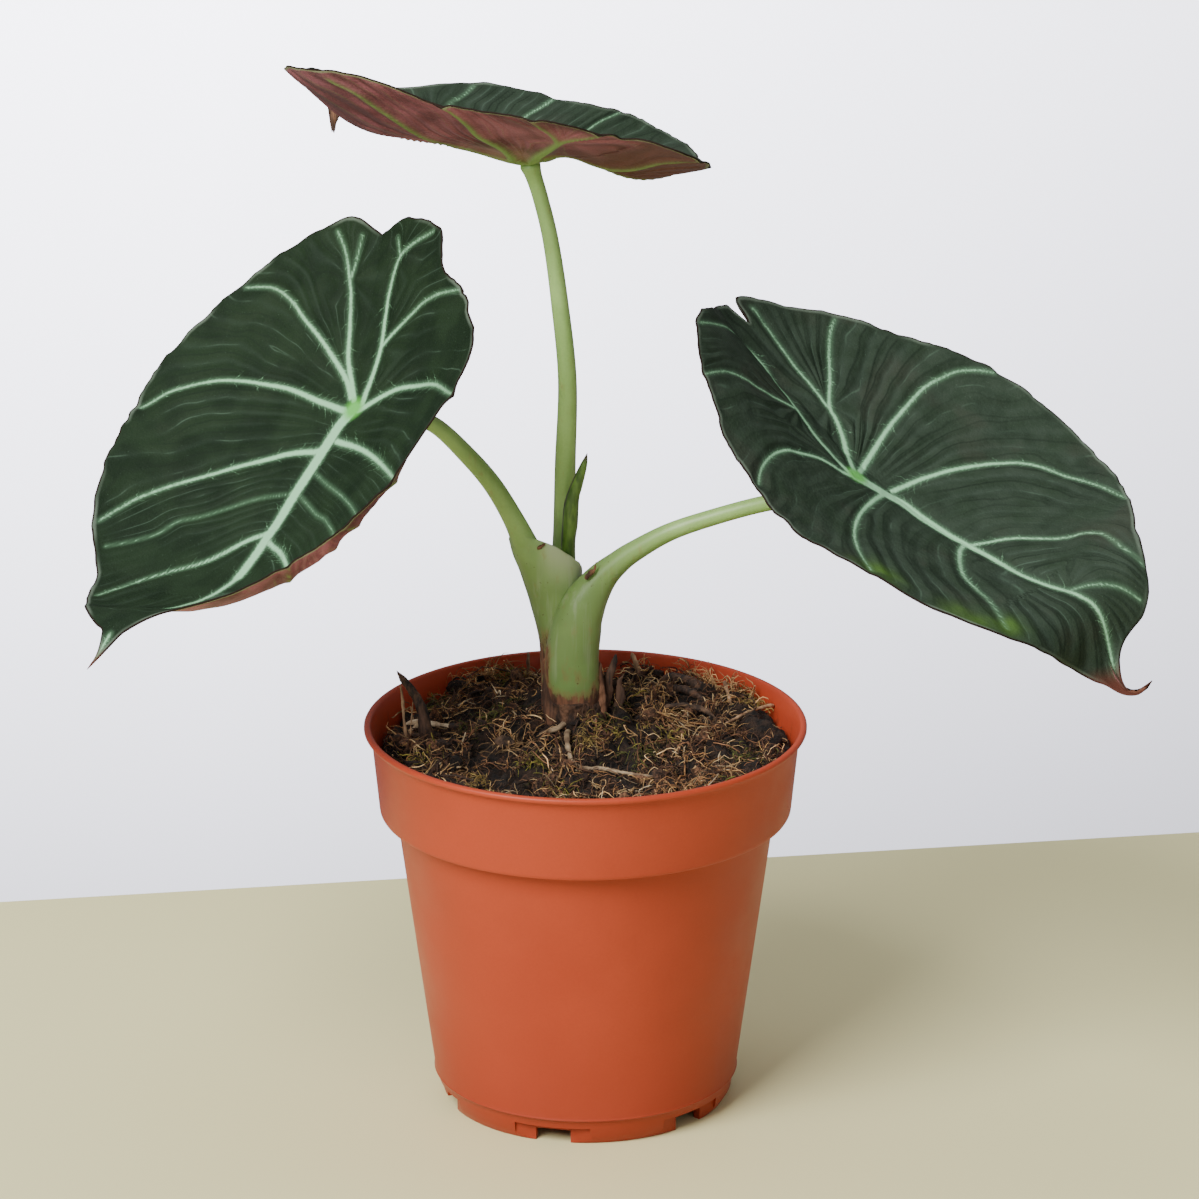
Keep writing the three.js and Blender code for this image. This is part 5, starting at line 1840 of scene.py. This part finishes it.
@dataclass(frozen=True)
class Sheath:
    """A leaf sheath: a thin sleeve round the stem, open above, with a slanted rim."""

    name: str
    rows: tuple[Point, ...] = (
        (108, -4.2, 9, 7.2, 6.6), (120, -4.6, 9.2, 7.0, 6.8), (127, -5, 9.3, 6.9, 7.0),
        (132, -5.9, 9.3, 6.8, 7.1), (140, -7.6, 9.2, 6.9, 7.2), (144.6, -8.4, 9.0, 7.5, 7.2),
        (149, -9.1, 8.8, 8.2, 7.0), (153, -10.2, 8.5, 9.0, 6.7), (157, -11.6, 8.2, 9.1, 6.4),
        (160, -14.6, 6.6, 5.6, 4.2), (164, -18.9, 4.1, 2.0, 2.0),
    )
    rim: tuple[Point, ...] = (
        (-1, 164), (-0.7, 163.4), (-0.35, 161.2), (-0.12, 159.6), (0.1, 158.8), (0.25, 157.8), (0.44, 156.4),
        (0.75, 153.6), (0.93, 151.0), (1, 148.4),
    )
    stalk: tuple[Point, ...] = ()
    blend: float = 1.7
    back_drop: float = 9.0
    skin: float = 0.45
    around: int = 120
    up: int = 70

    def ring(self, share: float, inset: float) -> Array:
        """One ring of points, flowing into the stalk that the sheath belongs to.

        Args:
            share: share of the way up to the rim.
            inset: how far the ring is moved inwards, in millimetres.

        Returns:
            One row of x, y, z for each point.
        """
        turn = np.linspace(0, 2 * np.pi, self.around, endpoint=False)
        cos, sin = np.cos(turn), np.sin(turn)
        rim, rows, stalk = np.array(self.rim), np.array(self.rows), np.array(self.stalk)
        wavy = 0.25 * noise(np.stack([cos, sin, 0 * cos], -1) * 6, 2.0, 61) * ease(cos, -0.2, 0.1)
        top = np.interp(cos, rim[:, 0], rim[:, 1]) - self.back_drop * ease(sin, 0.1, 0.9) + wavy
        z = rows[0, 0] + (top - rows[0, 0]) * share
        cx, cy, wx, wy = (monotone(rows[:, 0], rows[:, k])(z) for k in range(1, 5))
        side = np.stack([wx * cos, wy * sin], -1)
        reach = np.linalg.norm(side, axis=1)
        side /= reach[:, None]
        px, py, radius = (monotone(stalk[:, 2], stalk[:, k])(z) for k in (0, 1, 3))
        px, py, radius = px - cx, py - cy, radius * 1.04
        along = px * side[:, 0] + py * side[:, 1]
        far = along + np.sqrt(np.clip(radius ** 2 - px ** 2 - py ** 2 + along ** 2, 0, None))
        soft = self.blend * (1 - 0.93 * ease(z, 154, 162))
        merged = 0.5 * (reach + far + np.sqrt((reach - far) ** 2 + soft ** 2))
        merged -= 0.75 * ease(np.full_like(cos, share), 0.82, 1.0) * ease(-cos, 0.15, 0.45) + inset
        return np.stack([cx + side[:, 0] * merged, cy + side[:, 1] * merged, z], -1)

    def build(self, material: bpy.types.Material, **fields: Field) -> bpy.types.Object:
        """Builds the sleeve as a closed skin.

        Args:
            material: its finish.
            fields: functions from points and the share of the height to a field on the mesh.

        Returns:
            The sheath.
        """
        levels = np.linspace(0, 1, self.up)
        rings = [(u, 0.0) for u in levels] + [(1.003, self.skin / 2)] + [(u, self.skin) for u in levels[::-2]]
        points = np.vstack([self.ring(u, inset) for u, inset in rings])
        share = np.repeat([u for u, _ in rings], self.around)
        faces = joined_rings(len(rings), self.around, closed=True)
        shell = Shell.empty()
        shell.add(points, faces, 0, **{k: make(points, share) for k, make in fields.items()})
        return shell.piece(self.name, Slot.PETIOLE, [material])


def even(value: float) -> Field:
    """A field with one value everywhere."""
    return lambda points, share: np.full(len(points), value)


@dataclass(frozen=True)
class Crown:
    """Stalks with their sheaths, the young leaf, the rootstock and the dry tips."""

    right_stalk: tuple[Point, ...] = (
        (-2.5, 5.4, 108, 6.6, 6.3), (-3.1, 4.2, 115, 7.4, 6.5), (-3.7, 3.4, 120.8, 7.5, 6.2),
        (-3.55, 3, 126.5, 7.25, 6.0), (-2.7, 2.8, 132.6, 7.0, 5.7), (-1.9, 2.7, 136.6, 6.6, 5.4),
        (-0.2, 2.8, 140.9, 6.0, 4.9), (2.2, 3, 144.9, 5.0, 4.3), (4.9, 3, 148.5, 4.1, 3.8),
        (8.2, 2.6, 151.8, 3.35, 3.35), (12.7, 2, 155.5, 2.9, 2.9), (22.4, 0.5, 161.6, 2.45, 2.45),
        (34, -1, 166.3, 2.25, 2.25), (48.2, -5, 171.6, 2.2, 2.2), (59, -11, 174.9, 2.25, 2.25),
        (67, -15.6, 178.4, 2.4, 2.4), (72.2, -18.4, 183.2, 2.9, 2.9),
    )
    left_stalk: tuple[Point, ...] = (
        (-6.0, 8.6, 111, 4.4, 4.4), (-6.4, 8.6, 126, 4.6, 4.6), (-9.4, 8.2, 139, 4.6, 4.6),
        (-12.7, 6.8, 148.6, 4.2, 4.2), (-15.6, 5.2, 155.4, 3.6, 3.6), (-19.3, 3.7, 164.3, 2.85, 2.85),
        (-24.8, 2.5, 174.4, 2.55, 2.55), (-31.5, 1, 183.2, 2.4, 2.4), (-40.1, -2, 192.6, 2.2, 2.2),
        (-49, -5, 197, 2.2, 2.2), (-56.5, -8.2, 198.2, 2.4, 2.4), (-61.8, -11.2, 200.2, 2.9, 2.9),
    )
    top_stalk: tuple[Point, ...] = (
        (-4.5, 14, 112, 4.8), (-6.2, 15, 131.5, 3.9), (-5.8, 16, 156, 3), (-5.4, 16, 176, 2.85),
        (-4.8, 16, 199.8, 2.55), (-6.9, 16, 222.2, 2.35), (-9.2, 15.5, 239, 2.15), (-11.7, 15, 250.2, 2.1),
        (-13.6, 14.6, 256.8, 2.25), (-14.5, 14.2, 259.8, 2.9), (-15.0, 13.8, 261.6, 4.0),
    )
    young_leaf: tuple[Point, ...] = (
        (-3.4, 11.4, 121, 1.6), (-3.9, 11, 138, 1.8), (-4.6, 10.6, 154, 1.9), (-4.1, 10.3, 160.8, 2.1),
        (-3.8, 10.1, 165.9, 2.05), (-3.2, 9.9, 169.2, 1.75), (-2.3, 9.8, 172, 1.6), (-0.6, 9.6, 177.1, 1.05),
        (0.1, 9.5, 179.4, 0.6), (0.55, 9.4, 181.3, 0.2),
    )
    rootstock: tuple[Point, ...] = (
        (-2.5, 10, 88, 3.5), (-2.5, 10, 93, 6.2), (-2.2, 8.6, 100, 7.8), (-2.6, 6.0, 106, 8.3),
        (-2.9, 5.0, 111, 8.1), (-3.2, 4.8, 114.6, 6.8),
    )
    dry_tips: tuple[tuple[Point, ...], ...] = (
        (
            (-12.9, 1.7, 156.4, 0.3), (-12.1, 1.3, 157.2, 0.6), (-11.3, 1.2, 157.9, 0.4),
            (-10.9, 1.2, 158.2, 0.15),
        ),
        (
            (0.0, -0.9, 148.9, 0.35), (0.9, -1.0, 150.0, 0.65), (1.9, -0.9, 151.0, 0.5),
            (2.5, -0.8, 151.8, 0.15), (2.9, -0.8, 153.6, 0.07),
        ),
    )

    @staticmethod
    def old(points: Array, share: Array) -> Array:
        """1 where the skin has dried: at the soil, and along both edges of the base."""
        x, z = points[:, 0], points[:, 2]
        base = 1 - ease(z - 2.0 * ease(np.abs(x + 3.4), 2, 7), 111.5, 120.5)
        left = ease(-x, 8.4, 10.8) * (1 - ease(z, 124, 139)) * 0.8
        right = ease(x, 2.0, 4.0) * (1 - ease(z, 119, 129)) * 0.7
        scar = 0.42 * np.exp(-((x + 2.6) / 3.0) ** 2 - ((z - 120.5) / 3.6) ** 2)
        return np.maximum(np.maximum(base, left), np.maximum(right, scar))

    def build(self, finishes: Finishes) -> None:
        """Builds every limb of the crown.

        Args:
            finishes: the materials.
        """
        def clasping(points: Array, share: Array) -> Array:
            """1 on the clasping base, 0 on the free stalk."""
            return 1 - ease(points[:, 2], 143, 164)

        def film(points: Array, share: Array) -> Array:
            """Papery white towards the sheath's rim."""
            return 0.8 * ease(share, 0.7, 0.99) * ease(points[:, 0], -13.5, -9)

        def dark_tip(points: Array, share: Array) -> Array:
            """Brown at the young leaf's tip and along the free edge of its roll."""
            x, _, z, radius = np.array(self.young_leaf).T
            aside = (points[:, 0] - np.interp(points[:, 2], z, x)) / np.interp(points[:, 2], z, radius)
            return np.maximum(0.75 * ease(share, 0.9, 1.0), 0.62 * ease(-aside, 0.78, 0.95))

        skins = {"sheath": clasping, "old": self.old, "film": even(0.0)}
        for name, stations, node in (("stalk_right", self.right_stalk, "petiole_right"),
                                     ("stalk_left", self.left_stalk, "petiole_left"),
                                     ("stalk_top", self.top_stalk, "petiole_top")):
            Limb(name, stations, Slot.PETIOLE, (node,), sides=48).build(finishes.stalk, **skins)
        Sheath("left_sheath", stalk=self.left_stalk).build(finishes.stalk, **{**skins, "film": film})
        roll = Limb("young_leaf_roll", self.young_leaf, Slot.YOUNG, ("new_leaf",))
        roll.build(finishes.young, tone=dark_tip)
        Limb("rootstock", self.rootstock, Slot.RHIZOME, ("rhizome",), sides=72, step=0.45, lumps=0.8,
             lump_size=3.0, seed=4).build(finishes.rhizome)
        for number, stations in enumerate(self.dry_tips):
            Limb(f"dry_tip_{number + 1}", stations, Slot.HUSK, sides=14, step=0.3, lumps=0.25, lump_size=1.2,
                 seed=5 + number).build(finishes.husk)


HUSKS = {
    "husk_left": (
        (-8.6, 0.8, 106, 1.6, 0.9), (-9.6, 1.2, 112, 1.9, 0.8), (-10.2, 2.0, 119, 1.5, 0.6),
        (-10.6, 2.6, 126, 0.5, 0.4),
    ),
    "husk_right": (
        (3.2, 2.4, 105, 1.8, 1.2), (4.2, 2.4, 111, 1.5, 0.9), (4.0, 2.6, 117.5, 1.1, 0.7),
        (3.9, 3.0, 124, 0.5, 0.4),
    ),
}
SURFACE_ROOTS = {
    "surface_root_short": (
        (-0.5, 2.4, 106, 1), (-3, -0.5, 0, 0.9), (-7.4, -3.2, 0, 0.75), (-12.6, -5.6, 0, 0.45),
    ),
    "surface_root_long": (
        (-4, 0.2, 103.2, 0.8), (-4.9, -7, 0, 0.8), (-4.5, -16, 0, 0.7), (-2, -22, 0, 0.65),
        (5, -24.5, 0, 0.6), (12, -26, 0, 0.5), (18.6, -27.4, 0, 0.3),
    ),
}
LITTER = {
    "bark_splinter": ((-49.5, 6.5, 0.6, 0.7), (-44, 6, 0.9, 1.1), (-39.5, 5, 0.7, 0.5)),
    "bark_chip": ((-24.6, -6, 0.4, 1.6), (-21.8, -7.4, 0.6, 2), (-19.2, -8.2, 0.4, 1.3)),
    "bark_curl": ((21.5, 15.5, 0.8, 1), (26.5, 19, 1.6, 1.5), (32.5, 19.5, 1.4, 1.3), (36, 16, 0.5, 0.8)),
    "bark_shred": ((8.6, 17.4, 0.2, 1.6), (8.8, 18.2, 3.4, 1.5), (8.4, 19, 6.4, 0.7)),
}
EXTRAS: dict[str, tuple[Slot, Skin, tuple[Point, ...]]] = {
    "twig_dark": (Slot.BARK, Skin.HUSK_DARK, (
        (-51.4, 6, 120.4, 0.2), (-49.6, 5, 118.0, 0.9), (-46.4, 3, 114.4, 1.2), (-44.2, 1, 110, 1.5),
        (-43.5, 0, 105, 1.9), (-42, 0, 101, 1.4),
    )),
    "twig_pale": (Slot.ROOT, Skin.TWIG, (
        (-50.3, 5.6, 116.4, 0.22), (-49.9, 4.6, 113.4, 0.42), (-49.4, 2, 108.5, 0.4), (-48.8, 0.5, 103, 0.35),
    )),
    "twig_thin": (Slot.ROOT, Skin.TWIG, (
        (-46.9, 3.6, 112.0, 0.2), (-47.2, 2, 109.0, 0.25), (-47.6, 0, 104, 0.2),
    )),
    "stick_back_left": (Slot.BARK, Skin.TWIG, (
        (-16.1, 49.5, 110.3, 0.35), (-15.9, 48.5, 107.5, 0.5), (-16.1, 47.4, 102, 0.45),
    )),
    "stick_back_right": (Slot.BARK, Skin.TWIG, (
        (12.9, 50.0, 109.9, 0.7), (14.2, 48.0, 107.0, 0.75), (16.0, 45.0, 102, 0.6),
    )),
    "stick_right": (Slot.BARK, Skin.TWIG, (
        (38.6, 36.5, 106.2, 0.5), (39.0, 31.5, 105.9, 0.55), (39.8, 26.0, 104.4, 0.5),
        (40.4, 23.5, 102.5, 0.35),
    )),
    "root_right": (Slot.ROOT, Skin.TWIG, (
        (37.6, 10.8, 102.6, 0.3), (43.0, 15.5, 103.9, 0.42), (49.0, 20.8, 104.4, 0.45),
        (52.2, 23.5, 103.8, 0.35),
    )),
    "splinter_pale": (Slot.BARK, Skin.SPLINTER, (
        (-49.6, 14.6, 101.6, 0.25, 0.2), (-47.2, 14.5, 102.2, 1.3, 0.6), (-44.2, 13.2, 102.6, 1.5, 0.7),
        (-40.7, 11.0, 102.9, 0.9, 0.6), (-36.1, 8.1, 103.2, 0.5, 0.4),
    )),
    "splinter_fork": (Slot.BARK, Skin.SPLINTER, (
        (-48.6, 10.0, 101.4, 0.2), (-45.9, 11.6, 102.2, 0.6), (-42.9, 12.0, 102.6, 0.6),
    )),
    "stick_left": (Slot.BARK, Skin.HUSK_DARK, (
        (-37.5, 8.8, 103.2, 0.9), (-31, 6.4, 103.6, 1.1), (-24, 5.6, 103.9, 0.9), (-19, 5.0, 104.0, 0.5),
    )),
    "bark_arch": (Slot.BARK, Skin.HUSK_DARK, (
        (19.5, 40.5, 103.4, 0.7), (23.0, 40.6, 105.6, 1.3), (28.0, 37.6, 106.0, 1.5),
        (32.6, 33.2, 105.2, 1.3), (36.0, 29.0, 103.0, 0.7),
    )),
    "bark_arch_low": (Slot.BARK, Skin.HUSK_DARK, (
        (20.5, 36.5, 103.0, 0.6), (24.0, 35.6, 104.6, 1.0), (29.0, 32.0, 104.8, 1.2),
        (33.0, 28.0, 103.8, 0.8),
    )),
    "husk_shred": (Slot.HUSK, Skin.HUSK_DARK, (
        (4.6, 5.6, 108, 1.2, 0.7), (6.0, 5.6, 114, 1.6, 0.7), (6.2, 5.4, 118, 1.3, 0.6),
        (7.5, 5.6, 121.5, 1.1, 0.4), (8.3, 5.8, 125.0, 0.2, 0.15),
    )),
    "husk_shred_low": (Slot.HUSK, Skin.HUSK_DARK, (
        (8.0, 6.6, 108, 1.2, 0.5), (9.6, 6.6, 112.5, 1.3, 0.5), (9.2, 6.6, 116.5, 0.7, 0.4),
        (10.6, 6.6, 119.0, 0.15, 0.15),
    )),
    "drip_tip": (Slot.BLADE, Skin.HUSK, (
        (-69.0, 87.9, 258.4, 1.2, 0.5), (-69.2, 87.6, 256.4, 1.5, 0.5), (-69.4, 87.2, 254.4, 1.3, 0.5),
        (-69.7, 86.9, 252.4, 0.8, 0.4), (-69.7, 86.5, 250.9, 0.45, 0.2), (-69.6, 86.3, 249.9, 0.1, 0.1),
    )),
}


@dataclass(frozen=True)
class Litter:
    """Dry husks, surface roots and loose pieces of bark and wood on the soil."""

    bed: SoilBed
    finishes: Finishes

    def build(self) -> None:
        """Builds every piece."""
        skins = self.finishes
        for name, stations in HUSKS.items():
            Limb(f"{name}_paper", stations, Slot.HUSK, (name,), sides=20, step=0.6, lumps=0.35,
                 lump_size=2.0, seed=6).build(skins.husk)
        for name, stations in SURFACE_ROOTS.items():
            Limb(f"{name}_skin", self.bed.lay(stations), Slot.ROOT, (name,), sides=12, step=0.6, lumps=0.18,
                 lump_size=1.6, seed=7).build(skins.root)
        for name, stations in LITTER.items():
            laid = tuple((x, y, self.bed.height(x, y) + lift + 0.7, r, r * 0.5) for x, y, lift, r in stations)
            Limb(f"{name}_piece", laid, Slot.BARK, (name,), sides=14, step=0.5, lumps=0.5,
                 lump_size=1.6, seed=8).build(skins.bark, tone=even(0.2))
        for name, (slot, skin, stations) in EXTRAS.items():
            Limb(name, stations, slot, sides=14, step=0.5, lumps=0.2, lump_size=1.4, seed=9).build(
                skins.of(skin), tone=even(0.0))


def dress_anchor_roots(finishes: Finishes) -> None:
    """Gives the roots inside the soil, which keep their CAD shape, the root skin."""
    for name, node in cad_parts.items():
        if name.startswith("root_"):
            node.data.materials.clear()
            node.data.materials.append(finishes.root)


def main() -> None:
    """Builds the studio, then the pot, the soil, the plant and the litter."""
    logging.basicConfig(level=logging.INFO, format="%(name)s: %(message)s")
    studio = Studio()
    studio.build_camera()
    studio.build_light()
    studio.build_table()
    finishes = Finishes.make()
    NurseryPot().build(finishes)
    bed = SoilBed(paths=(*SURFACE_ROOTS.values(), *LITTER.values(), EXTRAS["splinter_pale"][2]))
    bed.build_bed(finishes)
    bed.build_crumbs(finishes)
    for batch in STRANDS:
        bed.build_strands(finishes, batch)
    Crown().build(finishes)
    Litter(bed, finishes).build()
    for blade in (LEFT_BLADE, RIGHT_BLADE, TOP_BLADE):
        blade.build(finishes)
    dress_anchor_roots(finishes)


if __name__ == "__main__":
    main()
